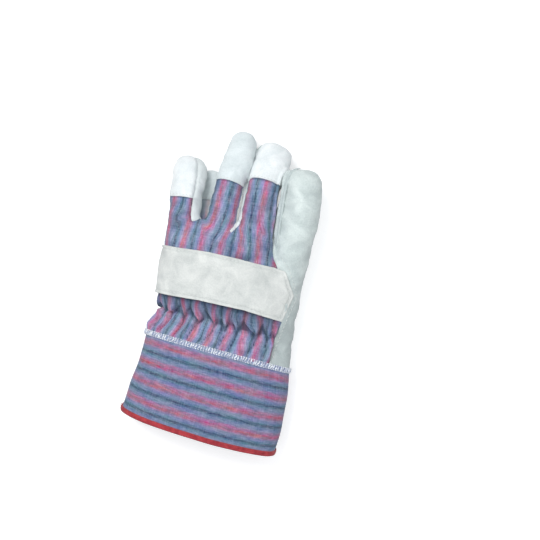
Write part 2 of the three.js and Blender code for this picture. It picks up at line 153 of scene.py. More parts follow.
def digit_sections(digit, step):
    """Smooth sections of a finger every so many millimetres, then those of its dome."""
    rows = np.array(digit["rows"], float)
    at = np.concatenate([[0], np.cumsum(np.linalg.norm(np.diff(rows[:, :3], axis=0), axis=1))])
    path_at = np.append(at, at[-1] + np.linalg.norm(np.array(digit["tip"]) - rows[-1, :3]))
    path = np.vstack([rows[:, :3], digit["tip"]])
    wanted = np.linspace(0, at[-1], int(at[-1] / step) + 2)
    dome_turns = np.linspace(0, 1, DOME_RINGS + 1)[1:] * math.pi / 2
    dome = at[-1] + (path_at[-1] - at[-1]) * np.sin(dome_turns)
    everywhere = np.concatenate([wanted, dome])
    centre = smooth_between(path_at, path, everywhere)
    run = np.gradient(centre, everywhere, axis=0)
    run[len(wanted) - 1 :] = run[len(wanted) - 1]
    run /= np.linalg.norm(run, axis=1)[:, None]
    size = smooth_between(at, rows[:, 3:5], wanted)
    share = (dome - at[-1]) / (path_at[-1] - at[-1])
    shrink = np.maximum(1 - share**DOME_POWER, 0) ** (1 / DOME_POWER)
    size = np.vstack([size, size[-1] * shrink[:, None]])
    side = np.cross(run, [0, 0, 1])
    side /= np.linalg.norm(side, axis=1)[:, None]
    return dict(
        at=everywhere, row_at=at, centre=centre, run=run, side=side, up=np.cross(side, run),
        wide=size[:, 0], tall=size[:, 1],
    )


def tube_distance(rings):
    """Signed distance to a closed tube of rings, on the grid that all the tubes share."""
    count, around = rings.shape[:2]
    hubs = np.stack([rings[0].mean(0), rings[-1].mean(0)])
    points = np.concatenate([rings.reshape(-1, 3), hubs])
    i = np.arange(around)
    j = (i + 1) % around
    steps = around * np.arange(count - 1)
    sides = [np.stack([k + i, k + j, k + around + j, k + around + i], 1) for k in steps]
    first = np.stack([np.full(around, count * around), j, i], 1)
    last_ring = around * (count - 1)
    last = np.stack([np.full(around, count * around + 1), last_ring + i, last_ring + j], 1)
    grid = openvdb.FloatGrid.createLevelSetFromPolygons(
        points.astype(np.float32),
        triangles=np.concatenate([first, last]).astype(np.uint32),
        quads=np.concatenate(sides).astype(np.uint32),
        transform=openvdb.createLinearTransform(voxelSize=VOXEL),
        halfWidth=BAND / VOXEL,
    )
    distance = np.empty(GRID_SIZE, np.float32)
    grid.copyToArray(distance, ijk=tuple(GRID_START))
    return distance


def soft_union(a, b, width):
    """Union of two distances with a fillet where they meet."""
    overlap = np.maximum(width - np.abs(a - b), 0) / width
    return np.minimum(a, b) - overlap**2 * width / 4


VOXEL = 1.0
BAND = 9.0  # how far from a tube its distance is known
GRID_START = np.array([-72, -14, -9])
GRID_SIZE = (146, 262, 70)
WEB_FILLET = 6.0  # between the fingers and the hand
FLOOR_FILLET = 2.0  # round the flat that the glove lies on
UNDER_FLOOR = -6.0
HAND_STEP = 1.0
DIGIT_STEP = 1.5
ROUND_ANGLES = np.linspace(0, 2 * math.pi, 96, endpoint=False)

fine_hand = hand_sections(np.arange(0, HAND_AT["web"] + 0.1, HAND_STEP))
digit_forms = {name: digit_sections(digit, DIGIT_STEP) for name, digit in DIGITS.items()}
hand_rings = hand_points(fine_hand, ROUND_ANGLES, fine_hand["lift"][:, None], UNDER_FLOOR)
distances = {"hand": tube_distance(hand_rings)}
for name, form in digit_forms.items():
    around = np.cos(ROUND_ANGLES)[None, :, None] * (form["wide"][:, None, None] * form["side"][:, None])
    upward = np.sin(ROUND_ANGLES)[None, :, None] * (form["tall"][:, None, None] * form["up"][:, None])
    distances[name] = tube_distance(form["centre"][:, None] + around + upward)

skin_distance = np.full(GRID_SIZE, BAND, np.float32)
for name in DIGITS:
    skin_distance = np.minimum(skin_distance, soft_union(distances["hand"], distances[name], WEB_FILLET))
heights = (GRID_START[2] + np.arange(GRID_SIZE[2])) * VOXEL
above_floor = np.broadcast_to(heights, GRID_SIZE).astype(np.float32)
skin_distance = -soft_union(-skin_distance, above_floor, FLOOR_FILLET)
skin_grid = openvdb.FloatGrid(BAND)
skin_grid.transform = openvdb.createLinearTransform(voxelSize=VOXEL)
skin_grid.copyFromArray(skin_distance.astype(np.float32), ijk=tuple(GRID_START))
skin_points, skin_quads = skin_grid.convertToQuads(0.0)
skin_points = skin_points.astype(float)
skin_quads = skin_quads.astype(np.int64)


def point_normals(points, quads):
    """Normals of a mesh of quads at its points."""
    a, b, c, d = (points[quads[:, i]] for i in range(4))
    flat = np.cross(c - a, d - b)
    normals = np.zeros_like(points)
    for i in range(4):
        np.add.at(normals, quads[:, i], flat)
    return normals / np.maximum(np.linalg.norm(normals, axis=1), 1e-9)[:, None]


smooth_normals = point_normals(skin_points, skin_quads)
outward = np.sum(smooth_normals * (skin_points - skin_points.mean(0)), axis=1).mean()
if outward < 0:
    skin_quads = skin_quads[:, ::-1].copy()
    smooth_normals = -smooth_normals


# Seam lines: at every point of the skin, how far it lies inside or outside each seam. The pieces are
# cut where such a field is 0. The fork is the narrow strip of palm leather that comes up between the
# middle and index fingers, and the tongue is the rounded end of the palm, over the cuff.
HAND_SEAM_DROP = 0.14  # the side seams lie this share of the half height below the widest line
BLEND = 1.0  # how softly one tube's values pass into the next one's
REACH = 12.0  # no field grows past this
PANEL = [(24.6, 185), (26, 156), (32.4, 144), (40.4, 136.2), (51.5, 117.8), (46.6, 96), (44.6, 84),
         (43, 74), (43.9, 40), (110, 40), (110, 185)]
TONGUE = dict(centre=-4, half=38, foot=26, top=90, corner=24, square=0.62)
FORK = [(-2.3, 173.5), (-2.2, 168.5), (-2.9, 163.8), (-4.6, 159.8), (-6.7, 156.2)]
FORK_WIDTH = 1.75
INDEX_SEAM_ROW = 2


def sampled(distance, points):
    """A grid's values at points, interpolated."""
    place = np.clip(points / VOXEL - GRID_START, 0, np.array(distance.shape) - 1.001)
    low = place.astype(int)
    share = place - low
    total = 0
    for dx in (0, 1):
        for dy in (0, 1):
            for dz in (0, 1):
                weight = np.prod(np.where([dx, dy, dz], share, 1 - share), axis=1)
                total = total + weight * distance[low[:, 0] + dx, low[:, 1] + dy, low[:, 2] + dz]
    return total


def eased(value, start, end):
    """0 before start, 1 after end, and a smooth step between them."""
    share = np.clip((value - start) / (end - start), 0, 1)
    return share**2 * (3 - 2 * share)


def outline_depth(points, outline):
    """How deep plan points lie inside an outline, negative outside it."""
    corners = np.array(outline, float)
    nearest = np.full(len(points), np.inf)
    inside = np.zeros(len(points), bool)
    for start, end in zip(corners, np.roll(corners, -1, axis=0)):
        run = end - start
        share = np.clip((points - start) @ run / (run @ run), 0, 1)
        gap = points - start - share[:, None] * run
        nearest = np.minimum(nearest, np.hypot(gap[:, 0], gap[:, 1]))
        crosses = (start[1] > points[:, 1]) != (end[1] > points[:, 1])
        rise = run[1] if run[1] else 1e-9
        inside ^= crosses & (points[:, 0] < start[0] + (points[:, 1] - start[1]) * run[0] / rise)
    return np.where(inside, nearest, -nearest)


def hand_place(points):
    """How far along the hand points lie, and their place across and up in that section."""
    def at(values, along):
        return np.stack([np.interp(along, fine_hand["at"], column) for column in values.T], axis=1)

    table = np.column_stack([
        fine_hand["centre"], fine_hand["across"], fine_hand["middle"], fine_hand["tall"],
        fine_hand["lean"], fine_hand["half"],
    ])
    along = np.clip(points[:, 1], 0, HAND_AT["web"])
    for _ in range(8):
        cx, cy, ax, ay, middle, tall, lean, half = at(table, along).T
        dx = points[:, 0] - cx
        dy = points[:, 1] - cy - lean * (points[:, 2] - middle) / tall
        along = np.clip(along + 0.9 * (dy * ax - dx * ay), 0, HAND_AT["web"])
    return dict(along=along, across=dx * ax + dy * ay, half=half, up=points[:, 2] - middle, tall=tall)


def digit_place(points, form):
    """How far along a finger points lie, and their place round it."""
    far = ((points[:, None, :] - form["centre"][None, ::2]) ** 2).sum(2)
    k = np.clip(far.argmin(1) * 2, 1, len(form["at"]) - 2)
    step = ((points - form["centre"][k]) * form["run"][k]).sum(1)
    along = np.clip(form["at"][k] + step, form["at"][0], form["at"][-1])
    frame_table = np.column_stack([form["centre"], form["side"], form["up"], form["wide"], form["tall"]])
    here = np.stack([np.interp(along, form["at"], column) for column in frame_table.T], axis=1)
    offset = points - here[:, 0:3]
    across, up = (offset * here[:, 3:6]).sum(1), (offset * here[:, 6:9]).sum(1)
    wide, tall = np.maximum(here[:, 9], 2), np.maximum(here[:, 10], 2)
    angle = np.arctan2(up / tall, across / wide)
    return dict(along=along, angle=angle, radius=np.hypot(across, up), wide=wide)


near = {name: sampled(distance, skin_points) for name, distance in distances.items()}
closest = np.min(list(near.values()), axis=0)
pull = {name: np.exp(-(value - closest) / BLEND) for name, value in near.items()}
pull_sum = sum(pull.values())
pull = {name: value / pull_sum for name, value in pull.items()}


def blended(values):
    """One value at each point of the skin from those of the tubes it lies near."""
    return sum(pull[name] * values[name] for name in pull)


def on_tubes(**values):
    """A field that is known on some tubes and lies far outside on all the others."""
    far = np.full(len(skin_points), -REACH)
    return blended({name: np.clip(values.get(name, far), -REACH, REACH) for name in pull})


skin_edges = np.concatenate([skin_quads[:, pair] for pair in ([0, 1], [1, 2], [2, 3], [3, 0])])
edge_count = np.bincount(skin_edges[:, 0], minlength=len(skin_points))


def relaxed(values, rounds):
    """Values evened out with those of the neighbouring points, so that a seam runs smoothly."""
    for _ in range(rounds):
        around = np.bincount(skin_edges[:, 0], values[skin_edges[:, 1]], len(skin_points)) / edge_count
        values = (values + around) / 2
    return values


def tongue_edge(inset, count):
    """Points round the tongue's edge from side to side, so far inside it."""
    turns = np.linspace(0, math.pi, count)
    across = (TONGUE["half"] - inset) * signed_power(np.cos(turns), TONGUE["square"])
    rise = (TONGUE["corner"] - 0.3 * inset) * (1 - np.sin(turns) ** TONGUE["square"])
    return np.column_stack([TONGUE["centre"] + across, TONGUE["foot"] + inset + rise]).tolist()


def sampled_line(points, count):
    """Points spread evenly along a smooth line through a few."""
    points = np.array(points, float)
    far = np.concatenate([[0], np.cumsum(np.linalg.norm(np.diff(points, axis=0), axis=1))])
    return smooth_between(far, points, np.linspace(0, far[-1], count))


hand = hand_place(skin_points)
digits = {name: digit_place(skin_points, form) for name, form in digit_forms.items()}
side = {"hand": hand["up"] + HAND_SEAM_DROP * hand["tall"]}
for name, digit in DIGITS.items():
    low, high = (math.radians(value) for value in digit["seams"])
    place = digits[name]
    turn = (place["angle"] - (low + high) / 2 + math.pi) % (2 * math.pi) - math.pi
    side[name] = ((high - low) / 2 - np.abs(turn)) * np.maximum(place["radius"], 2)
fork_path = sampled_line(FORK, 60)
fork_gaps = np.linalg.norm(skin_points[:, None, :2] - fork_path[None], axis=2)
to_fork = fork_gaps.min(1)
fork_run = fork_gaps.argmin(1) / len(fork_path)
fork_half = FORK_WIDTH * (1.1 - 0.45 * fork_run) * eased(fork_run, -0.3, 0.35)
on_top = eased(skin_points[:, 2], 13, 25)
fork_share = (1 - eased(to_fork, 1.0, 3.5)) * on_top
round_fork = 4 * (1 - on_top) - (fork_half - to_fork)
past_cap = {
    name: digits[name]["along"] - digit_forms[name]["row_at"][DIGITS[name]["cap"]] for name in FINGER_NAMES
}
past_index_seam = digits["index"]["along"] - digit_forms["index"]["row_at"][INDEX_SEAM_ROW]
tongue_sides = [(TONGUE["centre"] + side_of * TONGUE["half"], TONGUE["top"]) for side_of in (-1, 1)]
tongue = outline_depth(skin_points[:, :2], tongue_sides + tongue_edge(0, 33))
above_cuff = hand["along"] - HAND_AT["cuff_seam"] - 0.15
fields = {
    "back_side": relaxed(np.minimum(relaxed(blended(side), 8), round_fork), 4),
    "thumb_panel": on_tubes(
        thumb=np.full(len(skin_points), REACH), hand=outline_depth(skin_points[:, :2], PANEL)),
    "cap": on_tubes(**past_cap),
    "index_front": on_tubes(index=past_index_seam),
    "above_cuff": above_cuff,
    "palm_or_tongue": np.maximum(above_cuff, np.where(skin_points[:, 2] < 14, tongue, -REACH)),
}

# Relief: seams sit in a groove, the elastic in the wrist draws the back into puffs, and the leather has
# slow waves. All of it moves the skin along its normals, in millimetres. The same values say how the
# stripes run and where shade is painted in the folds.
PINCH = 85.0  # the elastic's line, along the hand
GATHER = 10.6  # width of a puff
PUFF = 3.3  # height of a puff
ELASTIC_HALF = 52.0  # half the wrist's width over the puffs
GATHERED_HALF = 66.0  # half the width of the cloth that is gathered there


def ripple(points, wavelength, seed):
    """Smooth noise between about -1 and 1, made of a few waves."""
    chance = np.random.default_rng(seed)
    ways = chance.normal(size=(9, points.shape[1]))
    ways *= (chance.uniform(0.7, 1.4, 9) * 2 * math.pi / wavelength / np.linalg.norm(ways, axis=1))[:, None]
    return np.sin(points @ ways.T + chance.uniform(0, 7, 9)).sum(1) / 3.4


def hump(value, width, centre=0.0):
    """1 where the value is at the centre, fading to 0 at both sides."""
    return np.exp(-(((value - centre) / width) ** 2))


def over_section(across, up, square=2.4, flatness=0.54):
    """Length over a hand section from its middle, from the places across and up, in shares of its half."""
    turns = np.linspace(math.pi / 2, -0.9, 600)
    x, z = signed_power(np.cos(turns), 2 / square), flatness * signed_power(np.sin(turns), 2 / square)
    length = np.concatenate([[0], np.cumsum(np.hypot(np.diff(x), np.diff(z)))])
    top = turns >= 0
    from_above = np.interp(np.abs(across), x[top], length[top])
    turn = np.arctan2(signed_power(up, square / 2), np.abs(across) ** (square / 2))
    from_beside = np.interp(-turn, -turns, length)
    beside = eased(np.abs(across), 0.8, 0.95)
    return (from_above + (from_beside - from_above) * beside) * np.sign(across)


share_across = over_section(hand["across"] / hand["half"], hand["up"] / hand["tall"])
centre_x = np.interp(hand["along"], fine_hand["at"], fine_hand["centre"][:, 0])
over_back = centre_x + share_across * hand["half"]
over_gathers = share_across * GATHERED_HALF + 1.1 * ripple(skin_points[:, :2] * [1, 0.6], 12, 14)
striped = {"hand": over_gathers + (over_back - over_gathers) * eased(hand["along"], 100, 132)}
for name, digit in DIGITS.items():
    middle = math.radians(sum(digit["seams"]) / 2)
    turned = (digits[name]["angle"] - middle + math.pi) % (2 * math.pi) - math.pi + middle
    on_finger = digit["stripe"] + (math.pi / 2 - turned) * digits[name]["wide"]
    fade = eased(skin_points[:, 1], 130, 174)
    striped[name] = striped["hand"] + (on_finger - striped["hand"]) * fade
stripe = blended(striped)

u = share_across * ELASTIC_HALF + 2.2 * ripple(skin_points[:, :1], 40, 4)
v = hand["along"] - PINCH - 1.5 * ripple(u[:, None], 17, 11)
u = u - 0.06 * v + 0.8 * np.sin(v / 4.0 + 2 * ripple(u[:, None], 30, 12))
below = np.abs((u / GATHER) % 1 - 0.5) * 2
above = np.abs((u / GATHER + 0.5) % 1 - 0.5) * 2
strength = 1 + 0.4 * ripple(u[:, None], 22, 5)
petal = eased(-v + 1.5 - 5.5 * below**2, 0, 4.0) * (1 - below**2.2) ** 0.6
tuck = eased(v + 2.0 - 8.0 * above**1.3, 0, 3.5) * (1 - above**2) ** 0.7 * (1 - 0.85 * eased(v, 4, 15))
minor = 0.36 * eased(np.abs(ripple(np.column_stack([u, 0.3 * v]), 7, 18)), 0.1, 0.9)
height = np.maximum(np.maximum(petal, tuck), minor * (1 - eased(np.abs(v), 5, 9)))
on_back = eased(fields["back_side"], 0.5, 8) * (1 - eased(hand["along"], 106, 112))
on_back *= eased(-fields["thumb_panel"], -0.5, 2)
on_back *= 0.12 + 0.88 * eased(hand["along"], 64.5, 69.5)
puffs = (PUFF * strength * height - 0.9 * (1 - height)) * on_back

# Painted shade for the cloth's colour: darker in the valleys of the puffs, along the zigzag where they
# meet, on one side of each tuck, beside the caps and the thumb panel, and under the strap's lower edge.
interlock = (1 - eased(np.abs(petal - tuck), 0.02, 0.3)) * (1 - eased(np.abs(v), 4, 9))
shaded = 1 - np.abs(((u / GATHER + 0.5) % 1 - 0.76) / 0.2)
under_strap = eased(hand["along"], 86, 100) * (1 - eased(hand["along"], 104, 110))
under_cap = hump(fields["cap"], 0.8, -0.3) * (fields["cap"] < 0.3)
beside_panel = hump(fields["thumb_panel"], 0.9, -0.4) * (fields["thumb_panel"] < 0.3)
painted_shade = np.maximum.reduce([
    (1 - eased(height, 0.02, 0.44)) * on_back,
    0.75 * interlock * on_back,
    0.8 * under_cap,
    0.55 * beside_panel * (fields["back_side"] > 0),
    0.62 * eased(shaded, 0, 0.8) * eased(v, -3, 2) * (1 - eased(v, 14, 24)) * on_back,
    0.85 * under_strap * on_back,
])
# Painted light: the ring finger's cloth in the gap beside the little finger is painted paler, and its
# painted shade is weakened there.
painted_light_patch = pull["ring"] * eased(fields["back_side"], 0, 2) * eased(skin_points[:, 1], 158, 170)
painted_shade *= 1 - 0.7 * painted_light_patch

groove = -0.75 * hump(fields["back_side"], 1.3) * (1 - 0.6 * pull["thumb"]) * (1 - fork_share)
groove -= 0.5 * hump(fields["index_front"], 1.0) * (fields["back_side"] < 0)
pucker = 0.16 * np.sin(skin_points[:, 1] * 2 * math.pi / 5.3) * hump(fields["back_side"], 3.5)
waves = 0.45 * ripple(skin_points, 34, 1) + 0.2 * ripple(skin_points, 13, 2)
waves += 0.25 * ripple(skin_points * [0.35, 1, 0.6], 8, 3)
wrinkle = np.abs(ripple(skin_points * [0.5, 1, 0.5] + 2.5 * ripple(skin_points, 30, 15)[:, None], 17, 16))
wrinkles = -0.35 * hump(wrinkle, 0.09) * (fields["back_side"] < -2)
lying = eased(skin_points[:, 2], 0.3, 5)
squeezed = np.zeros(len(skin_points))
for name, other in (("index", "thumb"), ("thumb", "index")):
    touching = (1 - eased(near[other], 3.0, 5.5)) * eased(skin_points[:, 1], 150, 165)
    squeezed += pull[name] * touching * np.clip(near[other] / 2 - 0.1, 0, 1.8)
slow = groove + pucker + waves * (1 - 0.7 * eased(puffs, 0, 1)) + wrinkles
bulge = slow * lying + puffs + squeezed
formed = skin_points + smooth_normals * bulge[:, None]
formed[:, 2] = np.maximum(formed[:, 2], 0)
formed_normals = point_normals(formed, skin_quads)

# Painted light on the leather: the fork between the middle and index fingers and the palm leather high on
# the fingers' sides are painted paler.
finger_sides = eased(skin_points[:, 2], 16, 27) * eased(skin_points[:, 1], 140, 160)
finger_sides *= (fields["back_side"] < 0) * (1 - pull["thumb"])
painted_leather_light = np.maximum(fork_share, 0.6 * finger_sides)
SHADES = ("stripe", "along", "bulge", "painted_shade", "painted_leather_light", "painted_light_patch")
COLUMNS = ["x", "y", "z", "nx", "ny", "nz", *fields, *SHADES, "digit"]
digit_number = np.argmax([pull[name] for name in pull], axis=0)
extras = np.column_stack([
    *fields.values(), stripe, skin_points[:, 1], bulge, painted_shade, painted_leather_light, painted_light_patch, digit_number,
])
skin_table = np.column_stack([formed, formed_normals, extras])
smooth_table = np.column_stack([skin_points, smooth_normals, extras])
skin_faces = np.concatenate([skin_quads[:, [0, 1, 2]], skin_quads[:, [0, 2, 3]]])

# Palm: one piece of split leather for the palm side of the hand, of three fingers and of the thumb.
# It runs on as a rounded tongue that laps the cuff from below. The front of the index finger is a
# piece of its own, sewn on across the finger's base.
SNAP = 0.12  # a point this near to a seam is taken to lie on it
LEATHER_WALL = 1.5


def cut(table, faces, value):
    """Both sides of a cloth along the line where a value of its points is 0."""
    value = np.where(np.abs(value) < SNAP, 0.0, value)
    sign = np.sign(value[faces]).astype(int)
    mixed = (sign.max(1) > 0) & (sign.min(1) < 0)
    whole_inside = faces[~mixed & (sign.sum(1) > 0)]
    whole_outside = faces[~mixed & (sign.sum(1) <= 0)]
    faces, sign = faces[mixed], sign[mixed]
    touches = (sign == 0).any(1)
    lone = np.where(touches, (sign == 0).argmax(1), 0)
    spare = (sign == -np.sign(sign.sum(1))[:, None]).argmax(1)
    lone = np.where(touches, lone, spare)
    turn = (lone[:, None] + np.arange(3)) % 3
    faces = np.take_along_axis(faces, turn, 1)
    sign = np.take_along_axis(sign, turn, 1)
    through, split = faces[touches], faces[~touches]
    edges = np.concatenate([through[:, [1, 2]], split[:, [0, 1]], split[:, [0, 2]]])
    pairs, which = np.unique(np.sort(edges, axis=1), axis=0, return_inverse=True)
    which = which.ravel() + len(table)
    a, b = value[pairs[:, 0]], value[pairs[:, 1]]
    share = (a / (a - b))[:, None]
    table = np.concatenate([table, table[pairs[:, 0]] * (1 - share) + table[pairs[:, 1]] * share])
    m = which[: len(through)]
    m1 = which[len(through) : len(through) + len(split)]
    m2 = which[len(through) + len(split) :]
    new = np.concatenate([
        np.column_stack([through[:, 0], through[:, 1], m]),
        np.column_stack([through[:, 0], m, through[:, 2]]),
        np.column_stack([split[:, 0], m1, m2]),
        np.column_stack([m1, split[:, 1], split[:, 2]]),
        np.column_stack([m1, split[:, 2], m2]),
    ])
    old, apart = sign[touches], sign[~touches]
    new_sign = np.concatenate([old[:, 1], old[:, 2], apart[:, 0], apart[:, 1], apart[:, 1]])
    inside = np.concatenate([whole_inside, new[new_sign > 0]])
    outside = np.concatenate([whole_outside, new[new_sign < 0]])
    return compact(table, inside), compact(table, outside)


def compact(table, faces):
    used, renumbered = np.unique(faces, return_inverse=True)
    return table[used], renumbered.reshape(-1, 3)


def column(table, name):
    return table[:, COLUMNS.index(name)]


def cloth_mesh(name, table, faces, thickness, lift=0.0):
    """A cut piece with its thickness turned inwards and its cut edges closed."""
    points, normals = table[:, 0:3], table[:, 3:6]
    normals = normals / np.linalg.norm(normals, axis=1)[:, None]
    outer = points + normals * np.reshape(lift, (-1, 1))
    outer[:, 2] = np.maximum(outer[:, 2], 0)
    inner = outer - normals * thickness
    count = len(outer)
    sides = np.concatenate([faces[:, [0, 1]], faces[:, [1, 2]], faces[:, [2, 0]]])
    keys = sides[:, 0] * count + sides[:, 1]
    twins = sides[:, 1] * count + sides[:, 0]
    rim = sides[~np.isin(keys, twins)]
    rim_faces = np.column_stack([rim[:, 1], rim[:, 0], rim[:, 0] + count, rim[:, 1] + count])
    triangles = np.concatenate([faces, faces[:, ::-1] + count])
    vertices = (np.concatenate([outer, inner]) - PLAN_CENTRE) * MM
    mesh = bpy.data.meshes.new(name)
    mesh.vertices.add(len(vertices))
    mesh.vertices.foreach_set("co", vertices.ravel())
    loops = np.concatenate([triangles.ravel(), rim_faces.ravel()])
    mesh.loops.add(len(loops))
    mesh.loops.foreach_set("vertex_index", loops.astype(np.int32))
    quad_starts = len(triangles) * 3 + np.arange(len(rim_faces)) * 4
    starts = np.concatenate([np.arange(len(triangles)) * 3, quad_starts])
    mesh.polygons.add(len(starts))
    mesh.polygons.foreach_set("loop_start", starts.astype(np.int32))
    mesh.polygons.foreach_set("use_smooth", np.arange(len(starts)) < len(triangles))
    mesh.update(calc_edges=True)
    mesh.validate()
    for label in SHADES:
        layer = mesh.attributes.new(label, "FLOAT", "POINT")
        layer.data.foreach_set("value", np.tile(column(table, label), 2).astype(np.float32))
    # distance to the nearest seam, where the leather gets dirt and painted shade
    across_palm = np.where(column(table, "back_side") < -0.5, 9, 0)
    edge = np.abs(column(table, "back_side"))
    for seam in ("thumb_panel", "cap"):
        edge = np.minimum(edge, np.abs(column(table, seam)) + across_palm)
    edge = np.minimum(edge, np.abs(column(table, "index_front")) + 9 - across_palm)
    layer = mesh.attributes.new("edge", "FLOAT", "POINT")
    layer.data.foreach_set("value", np.tile(edge, 2).astype(np.float32))
    return mesh


def linked(name, data):
    """A new object in the scene."""
    thing = bpy.data.objects.new(name, data)
    bpy.context.collection.objects.link(thing)
    return thing


def placed(mesh, material, slot, *nodes):
    """A finished piece, riding on the glove in place of its solids."""
    piece = linked(mesh.name, mesh)
    mesh.materials.append(material)
    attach(piece, "root")
    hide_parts(*nodes)
    return piece


def colour(red, green, blue):
    """A colour as seen on a screen, 0 to 255, in the linear values that shaders take."""
    parts = [value / 255 for value in (red, green, blue)]
    return (*[c / 12.92 if c <= 0.04045 else ((c + 0.055) / 1.055) ** 2.4 for c in parts], 1)


def new_group(name, inputs, outputs):
    tree = bpy.data.node_groups.new(name, "ShaderNodeTree")
    for label, kind, value in inputs:
        socket = tree.interface.new_socket(label, in_out="INPUT", socket_type=kind)
        if value is not None:
            socket.default_value = value
    for label, kind in outputs:
        tree.interface.new_socket(label, in_out="OUTPUT", socket_type=kind)
    return tree, tree.nodes.new("NodeGroupInput"), tree.nodes.new("NodeGroupOutput")


def fed(tree, node, values):
    """A node whose inputs, by name or number, are set to plain values or linked to other nodes."""
    for key, value in values.items():
        if isinstance(value, bpy.types.NodeSocket):
            tree.links.new(value, node.inputs[key])
        else:
            node.inputs[key].default_value = value
    return node


def math_node(tree, operation, *values):
    node = tree.nodes.new("ShaderNodeMath")
    node.operation = operation
    return fed(tree, node, dict(enumerate(values))).outputs[0]


def noise_node(tree, vector, scale, detail=2.0, roughness=0.5):
    node = tree.nodes.new("ShaderNodeTexNoise")
    values = {"Vector": vector, "Scale": scale, "Detail": detail, "Roughness": roughness}
    return fed(tree, node, values).outputs["Fac"]


def mix_colours(tree, share, first, second):
    node = tree.nodes.new("ShaderNodeMix")
    node.data_type = "RGBA"
    return fed(tree, node, {0: share, 6: first, 7: second}).outputs[2]


def mapped(tree, vector, low, high, out_low=0.0, out_high=1.0):
    node = tree.nodes.new("ShaderNodeMapRange")
    values = {"Value": vector, "From Min": low, "From Max": high, "To Min": out_low, "To Max": out_high}
    return fed(tree, node, values).outputs["Result"]


def group_node(tree, group, **values):
    """A node group placed in a material with its own values, which are named as its inputs are."""
    node = tree.nodes.new("ShaderNodeGroup")
    node.node_tree = group
    return fed(tree, node, values).outputs


def new_material(name, roughness, sheen=0.0):
    material = bpy.data.materials.new(name)
    material.use_nodes = True
    tree = material.node_tree
    shader = tree.nodes["Principled BSDF"]
    shader.inputs["Roughness"].default_value = roughness
    shader.inputs["Specular IOR Level"].default_value = 0.2
    shader.inputs["Sheen Weight"].default_value = sheen
    shader.inputs["Sheen Roughness"].default_value = 0.6
    return material, tree, shader


def attribute(tree, name):
    node = tree.nodes.new("ShaderNodeAttribute")
    node.attribute_name = name
    return node.outputs["Fac"]


def bump(tree, shader, height, strength, distance):
    node = tree.nodes.new("ShaderNodeBump")
    node.inputs["Strength"].default_value = strength
    node.inputs["Distance"].default_value = distance
    tree.links.new(height, node.inputs["Height"])
    tree.links.new(node.outputs["Normal"], shader.inputs["Normal"])


def object_place(tree):
    return tree.nodes.new("ShaderNodeTexCoord").outputs["Object"]


# the nap of the leather: short fibres, and clouds where it has been brushed both ways
nap, nap_in, nap_out = new_group(
    "brushed nap",
    [("Place", "NodeSocketVector", None), ("Fibre", "NodeSocketFloat", 900.0),
     ("Cloud", "NodeSocketFloat", 90.0)],
    [("Shade", "NodeSocketFloat"), ("Height", "NodeSocketFloat")],
)
fibre = nap.nodes.new("ShaderNodeTexNoise")
fibre.inputs["Detail"].default_value = 4
fibre.inputs["Roughness"].default_value = 0.65
cloud = nap.nodes.new("ShaderNodeTexNoise")
cloud.inputs["Detail"].default_value = 3
cloud.inputs["Roughness"].default_value = 0.55
cloud.inputs["Distortion"].default_value = 0.6
for node, label in ((fibre, "Fibre"), (cloud, "Cloud")):
    nap.links.new(nap_in.outputs["Place"], node.inputs["Vector"])
    nap.links.new(nap_in.outputs[label], node.inputs["Scale"])
clouded = math_node(nap, "MULTIPLY", cloud.outputs["Fac"], 0.65)
fibred = math_node(nap, "MULTIPLY", fibre.outputs["Fac"], 0.35)
nap.links.new(math_node(nap, "ADD", clouded, fibred), nap_out.inputs["Shade"])
low_cloud = math_node(nap, "MULTIPLY", cloud.outputs["Fac"], 0.8)
nap.links.new(math_node(nap, "ADD", fibre.outputs["Fac"], low_cloud), nap_out.inputs["Height"])


# dirt and painted shade along the leather's cut edges, and painted shade in its hollows
dirt_and_shade_group, dirt_and_shade_in, dirt_and_shade_out = new_group(
    "dirt and painted shade of edges and hollows",
    [("Edge", "NodeSocketFloat", 9.0), ("Bulge", "NodeSocketFloat", 0.0)],
    [("Dirt_And_Shade", "NodeSocketFloat")],
)
edge_dirt_and_shade = mapped(dirt_and_shade_group, dirt_and_shade_in.outputs["Edge"], 0.1, 1.4, 0.2, 0.0)
hollow_shade = mapped(dirt_and_shade_group, dirt_and_shade_in.outputs["Bulge"], -1.2, 0.1, 0.28, 0.0)
dirt_and_shade_group.links.new(math_node(dirt_and_shade_group, "MAXIMUM", edge_dirt_and_shade, hollow_shade), dirt_and_shade_out.inputs["Dirt_And_Shade"])


def split_leather(name, light, dark, dirt_and_shade_colour, wrist_shade=0.0):
    """Matt clouded leather, with painted light, dirt and painted shade at its edges, and painted shade in
    its hollows.
    """
    material, tree, shader = new_material(name, 0.95, 0.25)
    brushed = group_node(tree, nap, Place=object_place(tree))
    shade = mapped(tree, brushed["Shade"], 0.36, 0.64)
    body = mix_colours(tree, shade, colour(*dark), colour(*light))
    # painted light: the leather is made paler where light is painted on it
    body = mix_colours(tree, attribute(tree, "painted_leather_light"), body, colour(238, 242, 242))
    dirt_and_shade_share = group_node(tree, dirt_and_shade_group, Edge=attribute(tree, "edge"), Bulge=attribute(tree, "bulge"))["Dirt_And_Shade"]
    # painted shadow, darker towards the wrist, when asked for
    if wrist_shade:
        painted_wrist_shadow = mapped(tree, attribute(tree, "along"), 80, 150, wrist_shade, 0.0)
        dirt_and_shade_share = math_node(tree, "MAXIMUM", dirt_and_shade_share, painted_wrist_shadow)
    tree.links.new(mix_colours(tree, dirt_and_shade_share, body, colour(*dirt_and_shade_colour)), shader.inputs["Base Color"])
    bump(tree, shader, brushed["Height"], 0.55, 0.0007)
    return material


